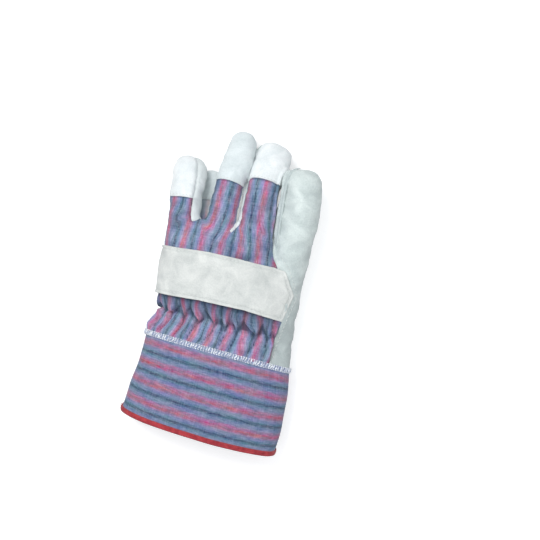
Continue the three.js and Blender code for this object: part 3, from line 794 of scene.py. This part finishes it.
leather = split_leather("split leather", (216, 225, 223), (184, 196, 195), (136, 148, 150))
above_seam, below_seam = cut(skin_table, skin_faces, column(skin_table, "back_side"))
lower = cut(*below_seam, column(below_seam[0], "palm_or_tongue"))[0]
front, palm = cut(*lower, column(lower[0], "index_front"))
placed(cloth_mesh("palm_leather", *palm, LEATHER_WALL), leather, "split_leather", "palm")
placed(cloth_mesh("index_leather", *front, LEATHER_WALL), leather, "split_leather", "index_front")

# Thumb panel: split leather over the back of the thumb and down its side to the cuff seam. Its
# free edge is turned and lies on the cotton back.
THUMB_EDGE_LIFT = 0.7
upper = cut(*above_seam, column(above_seam[0], "above_cuff"))[0]
thumb, rest = cut(*upper, column(upper[0], "thumb_panel"))
thumb_lift = THUMB_EDGE_LIFT * hump(column(thumb[0], "thumb_panel"), 5)
thumb_lift *= eased(column(thumb[0], "back_side"), 0, 3)
thumb_mesh = cloth_mesh("thumb_leather", *thumb, LEATHER_WALL, thumb_lift)
# the thumb's leather has a painted shadow over its lower part, darker towards the wrist
thumb_split = split_leather(
    "thumb split leather", (220, 229, 226), (188, 199, 197), (132, 144, 147), wrist_shade=0.4)
placed(thumb_mesh, thumb_split, "split_leather", "thumb_back")

# Fingertip caps: split leather sewn over the ends of the striped fingers, proud at their edge. They are
# paler than the palm, and those of the ring and middle fingers a little cooler and darker than the others.
CAP_LIFT = 0.5
pale_leather = split_leather("pale split leather", (240, 243, 243), (218, 225, 226), (150, 160, 164))
cool_leather = split_leather("cool split leather", (230, 237, 238), (206, 216, 217), (146, 158, 162))
cap_leather = (pale_leather, cool_leather, cool_leather, pale_leather)
(cap_table, cap_faces), striped_part = cut(*rest, column(rest[0], "cap"))
cap_lift = CAP_LIFT * eased(column(cap_table, "back_side"), 0, 3)
for number, name in enumerate(FINGER_NAMES, start=1):
    mine = np.abs(column(cap_table, "digit")[cap_faces[:, 0]] - number) < 0.5
    cap = compact(np.column_stack([cap_table, cap_lift]), cap_faces[mine])
    mesh = cloth_mesh(f"fingertip_cap_{name}", cap[0][:, :-1], cap[1], LEATHER_WALL, cap[0][:, -1])
    placed(mesh, cap_leather[number - 1], "split_leather", f"fingertip_{name}")

# Back: striped cotton over the back of the hand and of the fingers. Its woven stripes run along the
# fingers, and elastic inside the wrist gathers it into a row of puffs above the cuff.
def stretched(tree, across, along, across_scale, along_scale):
    """A place on the cloth, for a pattern that is drawn out along its threads."""
    place = tree.nodes.new("ShaderNodeCombineXYZ")
    for label, value, scale in (("X", across, across_scale), ("Y", along, along_scale)):
        tree.links.new(math_node(tree, "MULTIPLY", value, scale), place.inputs[label])
    return place.outputs[0]


weave, weave_in, weave_out = new_group(
    "plain weave",
    [("Across", "NodeSocketFloat", 0.0), ("Along", "NodeSocketFloat", 0.0),
     ("Thread", "NodeSocketFloat", 0.8)],
    [("Shade", "NodeSocketFloat"), ("Height", "NodeSocketFloat"), ("Slub", "NodeSocketFloat")],
)
threads = []
for label in ("Across", "Along"):
    turns = math_node(weave, "DIVIDE", weave_in.outputs[label], weave_in.outputs["Thread"])
    threads.append(math_node(weave, "SINE", math_node(weave, "MULTIPLY", turns, 2 * math.pi)))
crossing = math_node(weave, "MULTIPLY", *threads)
slubs = []
for scales, size, share in (((1, 0.16), 1.1, 0.6), ((0.12, 1), 1.0, 0.4)):
    place = stretched(weave, weave_in.outputs["Across"], weave_in.outputs["Along"], *scales)
    slubs.append(math_node(weave, "MULTIPLY", noise_node(weave, place, size, 2.0, 0.6), share))
slub = math_node(weave, "ADD", *slubs)
weave.links.new(slub, weave_out.inputs["Slub"])
weave.links.new(mapped(weave, crossing, -1, 1), weave_out.inputs["Height"])
crossing_shade = math_node(weave, "MULTIPLY", crossing, 0.12)
weave.links.new(math_node(weave, "ADD", crossing_shade, slub), weave_out.inputs["Shade"])

NAVY, TEAL, BLUE, LILAC = (34, 52, 92), (78, 116, 142), (122, 138, 184), (154, 144, 190)
MAUVE, CORAL, PINK = (182, 120, 164), (204, 88, 116), (200, 110, 152)
WARP = [
    # one repeat of the stripes
    (0.0, NAVY), (0.035, NAVY), (0.065, TEAL), (0.15, BLUE), (0.27, LILAC), (0.33, MAUVE), (0.40, CORAL),
    (0.50, CORAL), (0.56, PINK), (0.65, MAUVE), (0.71, LILAC), (0.83, BLUE), (0.935, TEAL), (0.965, NAVY),
]


# yarn-dyed stripes: one set of threads changes colour across the cloth, the other is pale blue; the dye
# lots drift and patches are faded; the cloth is painted paler where light is painted on it, and darker with
# painted shade in its folds and hollows
dyed, dyed_in, dyed_out = new_group(
    "yarn-dyed stripes",
    [("Across", "NodeSocketFloat", 0.0), ("Along", "NodeSocketFloat", 0.0),
     ("Shade", "NodeSocketFloat", 0.5), ("Slub", "NodeSocketFloat", 0.5),
     ("Repeat", "NodeSocketFloat", 15.0), ("Phase", "NodeSocketFloat", 0.0),
     ("Faded", "NodeSocketFloat", 0.5), ("Depth", "NodeSocketFloat", 0.0),
     ("Washed", "NodeSocketFloat", 0.0), ("Bulge", "NodeSocketFloat", 0.7),
     ("Crease", "NodeSocketFloat", 0.0)],
    [("Color", "NodeSocketColor")],
)
across, along = dyed_in.outputs["Across"], dyed_in.outputs["Along"]
heather = noise_node(dyed, stretched(dyed, across, along, 2.4, 0.17), 1.0, 1.0, 0.5)
drift = mapped(dyed, heather, 0.3, 0.7, -0.6, 0.6)
shifted = math_node(dyed, "ADD", math_node(dyed, "SUBTRACT", across, dyed_in.outputs["Phase"]), drift)
turn = math_node(dyed, "FRACT", math_node(dyed, "DIVIDE", shifted, dyed_in.outputs["Repeat"]))
ramp = dyed.nodes.new("ShaderNodeValToRGB")
stops = ramp.color_ramp.elements
stops.remove(stops[0])
stops[0].position, stops[0].color = WARP[0][0], colour(*WARP[0][1])
for position, shade in WARP[1:]:
    stops.new(position).color = colour(*shade)
dyed.links.new(turn, ramp.inputs["Fac"])
pale = mapped(dyed, dyed_in.outputs["Shade"], 0.35, 0.7, 0.0, dyed_in.outputs["Faded"])
cloth = mix_colours(dyed, pale, ramp.outputs["Color"], colour(186, 184, 202))
patch = noise_node(dyed, stretched(dyed, across, along, 0.5, 0.13), 1.0, 3.0, 0.65)
cloth = mix_colours(dyed, mapped(dyed, patch, 0.38, 0.62, 0.0, 0.5), cloth, colour(84, 122, 146))
lot = stretched(dyed, across, along, 0.16, 0.05)
dye = fed(dyed, dyed.nodes.new("ShaderNodeHueSaturation"), {
    "Hue": mapped(dyed, noise_node(dyed, lot, 1.0), 0.3, 0.7, 0.465, 0.525),
    "Saturation": mapped(dyed, noise_node(dyed, lot, 1.3, 1.0), 0.3, 0.7, 0.84, 1.14),
    "Value": mapped(dyed, dyed_in.outputs["Slub"], 0.32, 0.68, 0.74, 1.16),
    "Color": cloth,
})
cloth = mix_colours(dyed, dyed_in.outputs["Depth"], dye.outputs["Color"], colour(36, 56, 80))
# painted light: paler where light is painted on the cloth
paled = math_node(dyed, "MULTIPLY", dyed_in.outputs["Washed"], 0.62)
cloth = mix_colours(dyed, paled, cloth, colour(206, 216, 216))
# painted shade: darker in the hollows of the relief and where shade is painted in the folds
low = mapped(dyed, dyed_in.outputs["Bulge"], -0.8, 0.3, 0.45, 0.0)
low = math_node(dyed, "MAXIMUM", low, math_node(dyed, "MULTIPLY", dyed_in.outputs["Crease"], 0.8))
dyed.links.new(mix_colours(dyed, low, cloth, colour(34, 50, 70)), dyed_out.inputs["Color"])


def striped_cloth(name, repeat, phase, faded, depth):
    """Plain-woven striped cotton, laid out by the distances across and along its stripes."""
    material, tree, shader = new_material(name, 0.9, 0.15)
    across, along = attribute(tree, "stripe"), attribute(tree, "along")
    woven = group_node(tree, weave, Across=across, Along=along)
    stripes = group_node(
        tree, dyed, Across=across, Along=along, Shade=woven["Shade"], Slub=woven["Slub"],
        Repeat=repeat, Phase=phase, Faded=faded, Depth=depth, Washed=attribute(tree, "painted_light_patch"),
        Bulge=attribute(tree, "bulge"), Crease=attribute(tree, "painted_shade"))
    tree.links.new(stripes["Color"], shader.inputs["Base Color"])
    bump(tree, shader, woven["Height"], 0.35, 0.0003)
    return material


STRIPE = 15.0  # one repeat of the striped cloth
striped_cotton = striped_cloth("striped cotton", STRIPE, -3.8, faded=0.5, depth=0.0)
back_mesh = cloth_mesh("striped_back", *striped_part, LEATHER_WALL)
placed(back_mesh, striped_cotton, "striped_cotton", "back")

# Knuckle strap: a band of split leather laid over the back and sewn down along both edges, with its
# pointed end over the thumb panel.
STRAP = [(-80, 99), (-43, 99.4), (-20, 100.4), (16, 100), (46, 96.4), (51, 117.8), (41, 135),
         (4.5, 136.8), (-20, 137.4), (-43, 136), (-80, 135)]
STRAP_WALL = 1.45
STRAP_LIFT = 1.75
SIDE_LIFT = 1.6  # at the side seam
SEWN_ROW = 2.2  # from the strap's edge to its stitches
strap_depth = outline_depth(smooth_table[:, :2], STRAP)
strap_depth = np.minimum(strap_depth, column(smooth_table, "back_side") * 0.8)
strap_table = np.column_stack([smooth_table, strap_depth])
strap_table, strap_faces = cut(strap_table, skin_faces, strap_depth)[0]
depth = strap_table[:, -1]
strap_wave = 0.25 * ripple(strap_table[:, :3], 22, 6) + 0.12 * ripple(strap_table[:, :3], 9, 7)
sewn_dip = hump(depth, 0.9, SEWN_ROW)
free_edge = hump(strap_table[:, 1], 6, 99.5) * (1 - eased(strap_table[:, 0], 20, 44))
strap_lift = STRAP_LIFT + 1.5 * free_edge + strap_wave * eased(depth, 0, 5)
strap_lift *= 1 - 0.6 * eased(strap_table[:, 0], 34, 48)
strap_lift = SIDE_LIFT + (strap_lift - SIDE_LIFT) * eased(column(strap_table, "back_side"), 0, 9)
strap_lift -= 0.55 * sewn_dip
# the bulge paints shade into the dip of the stitch rows and the hollows of the waves
strap_table[:, COLUMNS.index("bulge")] = strap_wave - 0.8 * sewn_dip
strap_mesh = cloth_mesh("strap_leather", strap_table[:, :-1], strap_faces, STRAP_WALL, strap_lift)
# distance in from the strap's edge, where it gets dirt and painted shade
strap_edge = np.tile(np.maximum(depth, 0) + 0.6, 2).astype(np.float32)
strap_mesh.attributes["edge"].data.foreach_set("value", strap_edge)
strap_leather = split_leather("strap split leather", (224, 226, 222), (197, 201, 198), (150, 157, 157))
placed(strap_mesh, strap_leather, "split_leather", "knuckle_strap")

# Thumb welt: the thumb's seam next to the index finger, with both edges of the leather turned out
# into a round ridge.
def swept(name, path, radius, around=10):
    """A closed round ridge along points, thinner at both ends."""
    path = np.array(path, float)
    run = np.gradient(path, axis=0)
    run /= np.linalg.norm(run, axis=1)[:, None]
    lean = np.cross(run, [0, 0, 1])
    lean /= np.linalg.norm(lean, axis=1)[:, None]
    rise = np.cross(lean, run)
    turns = np.linspace(0, 2 * math.pi, around, endpoint=False)
    rings = path[:, None] + radius[:, None, None] * (
        np.cos(turns)[None, :, None] * lean[:, None] + np.sin(turns)[None, :, None] * rise[:, None]
    )
    return closed_rings(name, rings)


def closed_rings(name, rings, joined=False):
    """A mesh through rings of points in pattern millimetres, with its ends closed or joined up."""
    count, around = rings.shape[:2]
    i = np.arange(around)
    j = (i + 1) % around
    ring_starts = [(k * around, (k + 1) % count * around) for k in range(count if joined else count - 1)]
    quads = np.concatenate([np.stack([a + i, a + j, b + j, b + i], 1) for a, b in ring_starts])
    mesh = bpy.data.meshes.new(name)
    faces = quads.tolist()
    if not joined:
        faces += [list(range(around))[::-1], list(range((count - 1) * around, count * around))]
    mesh.from_pydata(((rings.reshape(-1, 3) - PLAN_CENTRE) * MM).tolist(), [], faces)
    mesh.polygons.foreach_set("use_smooth", [len(face) == 4 for face in faces])
    shape = bmesh.new()
    shape.from_mesh(mesh)
    bmesh.ops.recalc_face_normals(shape, faces=shape.faces)
    shape.to_mesh(mesh)
    shape.free()
    return mesh


WELT_RADIUS = 1.15
thumb_form = digit_forms["thumb"]
welt_angle = math.radians(DIGITS["thumb"]["seams"][1])
free = thumb_form["at"] >= thumb_form["row_at"][4] - 2
welt_path = (
    thumb_form["centre"]
    + thumb_form["side"] * (np.cos(welt_angle) * thumb_form["wide"])[:, None]
    + thumb_form["up"] * (np.sin(welt_angle) * thumb_form["tall"])[:, None]
)[free][:-1]
welt_share = np.linspace(0, 1, len(welt_path))
welt_radius = WELT_RADIUS * np.sqrt(np.clip(np.minimum(welt_share, 1 - welt_share) * 9 + 0.03, 0, 1))
welt_mesh = swept("thumb_welt_ridge", welt_path, welt_radius)
placed(welt_mesh, leather, "split_leather", "thumb_welt")

# Cuff: two plies of stiffened striped cotton, flared towards the hem, with the stripes round it. It
# is sewn to the back and the palm along the cuff seam, and stands open by its own stiffness.
CUFF_WALL = 2.0
CUFF_RINGS = 64
CUFF_REPEAT = 15.7
CUFF_LENGTH = 69.5  # measured along the cloth
CUFF_ANGLES = np.linspace(0, 2 * math.pi, 240, endpoint=False)
cuff_at = np.linspace(0, HAND_AT["cuff_seam"] - 0.15, CUFF_RINGS)
cuff_form = hand_sections(cuff_at)
outer = hand_points(cuff_form, CUFF_ANGLES, 0, TONGUE_LIFT)
inner = hand_points(cuff_form, CUFF_ANGLES, -CUFF_WALL, TONGUE_LIFT + CUFF_WALL)
outward = outer - inner
outward /= np.linalg.norm(outward, axis=2)[..., None]
free_up = eased(outer[..., 2], TONGUE_LIFT + 1, 9)
sway = 0.55 * ripple(outer.reshape(-1, 3), 48, 8) + 0.25 * ripple(outer.reshape(-1, 3) * [1, 0.5, 1], 17, 9)
sway = sway.reshape(outer.shape[:2]) * free_up
profile = np.concatenate([outer + outward * sway[..., None], (inner + outward * sway[..., None])[::-1]])
cuff_mesh = closed_rings("striped_cuff", profile, joined=True)
cuff_along = np.concatenate([cuff_at, cuff_at[::-1]])
girth = np.cumsum(np.linalg.norm(np.diff(outer[20], axis=0, prepend=outer[20, -1:]), axis=1))
# the bulge also sets the painted shade in the cuff's hollows
for label, values in (
    ("stripe", np.repeat(cuff_along * CUFF_LENGTH / cuff_at[-1], len(CUFF_ANGLES))),
    ("along", np.tile(girth, len(cuff_along))),
    ("bulge", np.concatenate([sway, sway[::-1]]).ravel() * 0.5 + 0.7),
):
    cuff_mesh.attributes.new(label, "FLOAT", "POINT").data.foreach_set("value", values.astype(np.float32))
cuff_cotton = striped_cloth("striped cuff cotton", CUFF_REPEAT, 7.5, faded=0.38, depth=0.25)
placed(cuff_mesh, cuff_cotton, "striped_cuff_cotton", "cuff")

# Hem binding: red cotton tape folded over the cuff's raw edge, so that it shows inside and outside,
# and sewn through with thread of its own colour.
BINDING = [
    # distance up the cuff and out of it, round the folded tape
    (2.9, 0.15), (2.6, 0.95), (1.7, 1.25), (0.4, 1.25), (-0.8, 0.85), (-1.3, -0.1), (-1.4, -1.0),
    (-1.3, -1.9), (-0.8, -2.85), (0.4, -3.25), (1.7, -3.25), (2.6, -2.95), (2.9, -2.15), (1.5, -2.05),
    (0.05, -2.05), (0.05, 0.05), (1.5, 0.05),
]


def ring_at(at, angles, grow, floor):
    """One ring of points round the hand, at a distance along it."""
    return hand_points(hand_sections(np.array([at])), angles, grow, floor)[0]


# the grain of thread and tape: shades that vary from place to place, and a fine roughness
grain, grain_in, grain_out = new_group(
    "thread grain",
    [("Place", "NodeSocketVector", None), ("Scale", "NodeSocketFloat", 300.0),
     ("Detail", "NodeSocketFloat", 2.0), ("Low", "NodeSocketFloat", 0.0),
     ("High", "NodeSocketFloat", 1.0), ("Fuzz", "NodeSocketFloat", 2000.0)],
    [("Shade", "NodeSocketFloat"), ("Height", "NodeSocketFloat")],
)
spots = [grain_in.outputs[label] for label in ("Place", "Scale", "Detail")]
spread = [grain_in.outputs[label] for label in ("Low", "High")]
grain.links.new(mapped(grain, noise_node(grain, *spots, 0.6), *spread), grain_out.inputs["Shade"])
fuzz = noise_node(grain, grain_in.outputs["Place"], grain_in.outputs["Fuzz"], 2, 0.6)
grain.links.new(fuzz, grain_out.inputs["Height"])


def thread_material(name, roughness, sheen, dark, light, rough=0.0, **grain_values):
    """Thread or tape between two shades, with its roughness standing so far out, in metres."""
    material, tree, shader = new_material(name, roughness, sheen)
    spun = group_node(tree, grain, Place=object_place(tree), **grain_values)
    shade = mix_colours(tree, spun["Shade"], colour(*dark), colour(*light))
    tree.links.new(shade, shader.inputs["Base Color"])
    if rough:
        bump(tree, shader, spun["Height"], 0.4, rough)
    return material


rings = []
for up_cuff, grow in BINDING:
    ring = ring_at(max(up_cuff, 0), CUFF_ANGLES, grow, TONGUE_LIFT - grow)
    ring = ring + outward[0] * sway[0][:, None]
    ring[:, 1] += min(up_cuff, 0)
    rings.append(ring)
binding_mesh = closed_rings("hem_tape", np.array(rings), joined=True)
red_tape = thread_material(
    "red binding tape", 0.8, 0.2, (146, 38, 48), (178, 58, 64), rough=0.0004,
    Scale=260, Detail=3, Low=0.35, High=0.65, Fuzz=1500)
placed(binding_mesh, red_tape, "binding_tape", "cuff_binding")

# Overlock band: the looped cotton thread that covers the seam between the cuff and the back. Its
# loops lie aslant on a flat ground, between two rows of short stitches.
BAND_ROWS = [(-2.1, 0.35), (-1.2, 0.7), (0, 0.85), (1.2, 0.7), (2.1, 0.35), (2.1, 0.1), (-2.1, 0.1)]
BAND_ANGLES = np.linspace(0, math.pi, 150)
rings = np.array([ring_at(HAND_AT["cuff_seam"] + along, BAND_ANGLES, grow, 0) for along, grow in BAND_ROWS])
band_mesh = closed_rings("overlock_base", rings.transpose(1, 0, 2))
white_thread = thread_material(
    "white overlock thread", 0.75, 0.2, (184, 190, 208), (240, 244, 248), rough=0.0003,
    Scale=320, Low=0.4, High=0.6, Fuzz=2200)
base_thread = thread_material("overlock ground", 0.85, 0.2, (110, 134, 168), (166, 170, 192), Scale=500)
placed(band_mesh, base_thread, "overlock_thread", "cuff_seam_band")


def thread_tree(name):
    """Geometry nodes that set one stitch at every point, along its way and standing on its face."""
    tree = bpy.data.node_groups.new(name, "GeometryNodeTree")
    tree.interface.new_socket("Geometry", in_out="OUTPUT", socket_type="NodeSocketGeometry")
    for label, kind, value in (
        ("Geometry", "NodeSocketGeometry", None), ("Length", "NodeSocketFloat", 0.002),
        ("Width", "NodeSocketFloat", 0.0005), ("Turn", "NodeSocketFloat", 0.0),
        ("Seed", "NodeSocketInt", 1), ("Thread", "NodeSocketMaterial", None),
    ):
        socket = tree.interface.new_socket(label, in_out="INPUT", socket_type=kind)
        if value is not None:
            socket.default_value = value
    add, link = tree.nodes.new, tree.links.new
    group_in, group_out = add("NodeGroupInput"), add("NodeGroupOutput")
    ball = add("GeometryNodeMeshUVSphere")
    ball.inputs["Segments"].default_value, ball.inputs["Rings"].default_value = 6, 6
    ball.inputs["Radius"].default_value = 0.5
    aligned = None
    for axis, label in (("X", "tangent"), ("Z", "normal")):
        way = add("GeometryNodeInputNamedAttribute")
        way.data_type = "FLOAT_VECTOR"
        way.inputs["Name"].default_value = label
        align = add("FunctionNodeAlignRotationToVector")
        align.axis = axis
        if aligned:
            align.pivot_axis = "X"
            link(aligned, align.inputs["Rotation"])
        link(way.outputs[0], align.inputs["Vector"])
        aligned = align.outputs["Rotation"]
    chance = add("FunctionNodeRandomValue")
    chance.inputs[2].default_value, chance.inputs[3].default_value = -0.28, 0.28
    link(group_in.outputs["Seed"], chance.inputs["Seed"])
    turn = add("ShaderNodeMath")
    link(group_in.outputs["Turn"], turn.inputs[0])
    link(chance.outputs[1], turn.inputs[1])
    spin = add("ShaderNodeCombineXYZ")
    link(turn.outputs[0], spin.inputs["Z"])
    rotate = add("FunctionNodeRotateRotation")
    rotate.rotation_space = "LOCAL"
    link(aligned, rotate.inputs["Rotation"])
    link(spin.outputs[0], rotate.inputs["Rotate By"])
    size = add("ShaderNodeCombineXYZ")
    link(group_in.outputs["Length"], size.inputs["X"])
    link(group_in.outputs["Width"], size.inputs["Y"])
    link(group_in.outputs["Width"], size.inputs["Z"])
    instance = add("GeometryNodeInstanceOnPoints")
    link(group_in.outputs["Geometry"], instance.inputs["Points"])
    link(ball.outputs["Mesh"], instance.inputs["Instance"])
    link(rotate.outputs[0], instance.inputs["Rotation"])
    link(size.outputs[0], instance.inputs["Scale"])
    smooth = add("GeometryNodeSetShadeSmooth")
    paint = add("GeometryNodeSetMaterial")
    real = add("GeometryNodeRealizeInstances")
    link(instance.outputs[0], real.inputs[0])
    link(real.outputs[0], smooth.inputs[0])
    link(smooth.outputs[0], paint.inputs["Geometry"])
    link(group_in.outputs["Thread"], paint.inputs["Material"])
    link(paint.outputs[0], group_out.inputs[0])
    return tree


stitch_tree = thread_tree("sewn thread")


def stitches(name, path, normals, thread, length, width, turn=0.0, seed=1):
    """Points and their directions, in pattern millimetres, made into one mesh of stitches."""
    points, tangents = path
    mesh = bpy.data.meshes.new(name + "_path")
    mesh.from_pydata(((np.asarray(points) - PLAN_CENTRE) * MM).tolist(), [], [])
    for label, values in (("tangent", tangents), ("normal", normals)):
        layer = mesh.attributes.new(label, "FLOAT_VECTOR", "POINT")
        layer.data.foreach_set("vector", np.asarray(values, np.float32).ravel())
    row = linked(name + "_path", mesh)
    modifier = row.modifiers.new("stitches", "NODES")
    modifier.node_group = stitch_tree
    values = {"Length": length * MM, "Width": width * MM, "Turn": turn, "Seed": seed, "Thread": thread}
    for item in stitch_tree.interface.items_tree:
        if item.in_out == "INPUT" and item.name in values:
            modifier[item.identifier] = values[item.name]
    row.update_tag()
    made = bpy.data.meshes.new_from_object(row.evaluated_get(bpy.context.evaluated_depsgraph_get()))
    made.name = name
    row.modifiers.clear()
    bpy.data.objects.remove(row)
    piece = linked(name, made)
    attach(piece, "root")


def spaced(path, pitch):
    """Points every so many millimetres along a polyline, with the directions there."""
    path = np.asarray(path, float)
    far = np.concatenate([[0], np.cumsum(np.linalg.norm(np.diff(path, axis=0), axis=1))])
    wanted = np.arange(pitch / 2, far[-1], pitch)
    points = np.stack([np.interp(wanted, far, column) for column in path.T], axis=1)
    ahead = np.stack([np.interp(wanted + 0.4, far, column) for column in path.T], axis=1)
    behind = np.stack([np.interp(wanted - 0.4, far, column) for column in path.T], axis=1)
    run = ahead - behind
    return points, run / np.linalg.norm(run, axis=1)[:, None]


def facing(points, run, core):
    """The direction out of a round form at points on it, square to the way they run."""
    face = np.cross(np.cross(run, points - core), run)
    return face / np.linalg.norm(face, axis=1)[:, None]


SEAM_CORE = np.array([2.2, 63.5, 17.5])  # the middle of the cuff seam
HEM_CORE = np.array([0, 0, 19])
LOOP_PITCH = 2.1
band_middle = ring_at(HAND_AT["cuff_seam"], np.linspace(0.02, math.pi - 0.02, 400), 1.1, 0)
points, run = spaced(band_middle, LOOP_PITCH)
points = points + run * np.random.default_rng(4).uniform(-0.55, 0.55, (len(points), 1))
outwards = facing(points, run, SEAM_CORE)
stitches("overlock_loops", (points, run), outwards, white_thread, 3.9, 1.25, turn=1.2, seed=3)
for k, shift in enumerate((-1.8, 1.8)):
    row = spaced(band_middle + [0, shift, -0.35], LOOP_PITCH)
    stitches(f"overlock_edge_{k}", row, facing(*row, SEAM_CORE), white_thread, 1.9, 0.8, seed=5 + k)

# Sewing thread: rows of lockstitch in cream cotton along the strap, the caps, the thumb panel and
# the tongue, a little inside each edge, and in red through the hem binding.
cream_thread = thread_material("cream sewing thread", 0.8, 0.1, (196, 200, 198), (228, 230, 226), Scale=700)


def sewn(name, plan_path, piece, pitch=3.0, length=2.1, width=0.55, below=False, sink=0.12):
    """A row of stitches over a plan path, set down on a piece from above or from below."""
    mesh = bpy.data.objects[piece].data
    tree = BVHTree.FromPolygons([v.co for v in mesh.vertices], [p.vertices for p in mesh.polygons])
    start_z, way = (-0.05, Vector((0, 0, 1))) if below else (0.1, Vector((0, 0, -1)))
    points, runs, normals = [], [], []
    for (x, y), (run_x, run_y) in zip(*spaced(plan_path, pitch)):
        start = Vector(((x - PLAN_CENTRE[0]) * MM, (y - PLAN_CENTRE[1]) * MM, start_z))
        spot, normal = tree.ray_cast(start, way)[:2]
        if spot is None:
            continue
        level = Vector((run_x, run_y, 0))
        level = (level - normal * level.dot(normal)).normalized()
        points.append(np.array(spot) / MM + PLAN_CENTRE + np.array(normal) * (width / 2 - sink))
        runs.append(level)
        normals.append(normal)
    stitches(name, (points, runs), normals, cream_thread, length, width)


STRAP_TOP = [(-53, 132.8), (-43, 133.8), (-20, 135.2), (4.5, 134.6), (39.5, 132.9), (48.6, 117.8)]
STRAP_FOOT = [(-50, 101.4), (-43, 101.6), (-20, 102.6), (16, 102.2), (44.2, 98.8), (48.6, 117.2)]
PANEL_ROW = [(35.9, 144.5), (43.5, 137.0), (53.9, 118.2), (49.1, 96), (47.1, 84), (45.5, 74), (45.7, 67)]
sewn("strap_top_stitches", STRAP_TOP, "strap_leather")
sewn("strap_foot_stitches", STRAP_FOOT, "strap_leather")
for name in FINGER_NAMES:
    form = digit_forms[name]
    at = form["row_at"][DIGITS[name]["cap"]] + 1.6
    low, high = (math.radians(value) for value in DIGITS[name]["seams"])
    turns = np.linspace(low + 0.15, high - 0.15, 30)
    centre, across, up = (
        np.array([np.interp(at, form["at"], column) for column in form[key].T])
        for key in ("centre", "side", "up")
    )
    wide, tall = (np.interp(at, form["at"], form[key]) for key in ("wide", "tall"))
    ring = centre + np.outer(np.cos(turns) * wide, across) + np.outer(np.sin(turns) * tall, up)
    sewn(f"cap_stitches_{name}", ring[:, :2], f"fingertip_cap_{name}", pitch=2.6, length=1.8, width=0.45)
sewn("thumb_panel_stitches", PANEL_ROW, "thumb_leather")
for k, inset in enumerate((2.4, 5.2)):
    ends = [(TONGUE["centre"] + side_of * (TONGUE["half"] - inset), 64) for side_of in (1, -1)]
    row = [ends[0], *tongue_edge(inset, 60), ends[1]]
    sewn(f"tongue_stitches_{k}", row, "palm_leather", below=True, sink=0.3)
hem_ring = ring_at(1.9, CUFF_ANGLES, 1.25, TONGUE_LIFT - 1.25)
row = spaced(np.vstack([hem_ring, hem_ring[:1]]), 3.4)
stitches("hem_stitches", row, facing(*row, HEM_CORE), red_tape, 2.2, 0.45)

# Pale paper floor and a plain pale studio: soft light from above and from two large lamps, and a
# camera that looks straight down, as in the photo.
FLOOR_HALF = 3
floor_mesh = bpy.data.meshes.new("floor")
corners = [(x * FLOOR_HALF, y * FLOOR_HALF, 0) for x, y in ((-1, -1), (1, -1), (1, 1), (-1, 1))]
floor_mesh.from_pydata(corners, [], [(0, 1, 2, 3)])
floor = linked("floor", floor_mesh)
paper, tree, shader = new_material("white paper", 0.9)
shader.inputs["Base Color"].default_value = (0.72, 0.72, 0.72, 1)
shader.inputs["Emission Color"].default_value = (1, 1, 1, 1)
seen = tree.nodes.new("ShaderNodeLightPath").outputs["Is Camera Ray"]
tree.links.new(math_node(tree, "MULTIPLY", seen, 0.5), shader.inputs["Emission Strength"])
floor_mesh.materials.append(paper)

world = bpy.data.worlds.new("studio")
world.use_nodes = True
tree = world.node_tree
sky = tree.nodes.new("ShaderNodeSeparateXYZ")
tree.links.new(tree.nodes.new("ShaderNodeTexCoord").outputs["Generated"], sky.inputs[0])
background = tree.nodes["Background"]
background.inputs["Color"].default_value = (0.93, 0.96, 1.0, 1)
tree.links.new(mapped(tree, sky.outputs["Z"], 0.0, 1.0, 0.12, 0.95), background.inputs["Strength"])
bpy.context.scene.world = world
for name, place, size, power in (("key", (-0.7, 0.6, 1.5), 0.7, 17), ("fill", (0.9, -0.5, 1.6), 1.4, 6)):
    light = bpy.data.lights.new(name, "AREA")
    light.size, light.energy = size, power
    lamp = linked(name, light)
    lamp.location = place
    lamp.rotation_euler = (-Vector(place)).to_track_quat("-Z", "Y").to_euler()
bpy.context.scene.view_settings.view_transform = "Standard"

VIEW_WIDTH = 0.4212  # across the photo, at the height of the glove's middle
VIEW_HEIGHT = 0.02
LENS, SENSOR = 120, 36
camera_data = bpy.data.cameras.new("camera")
camera_data.lens, camera_data.sensor_width = LENS, SENSOR
camera_data.clip_end = 20
camera = linked("camera", camera_data)
camera.location = (0.029, 0.0206, VIEW_HEIGHT + VIEW_WIDTH * LENS / SENSOR)
camera.rotation_euler = (0, 0, math.radians(12))
bpy.context.scene.camera = camera
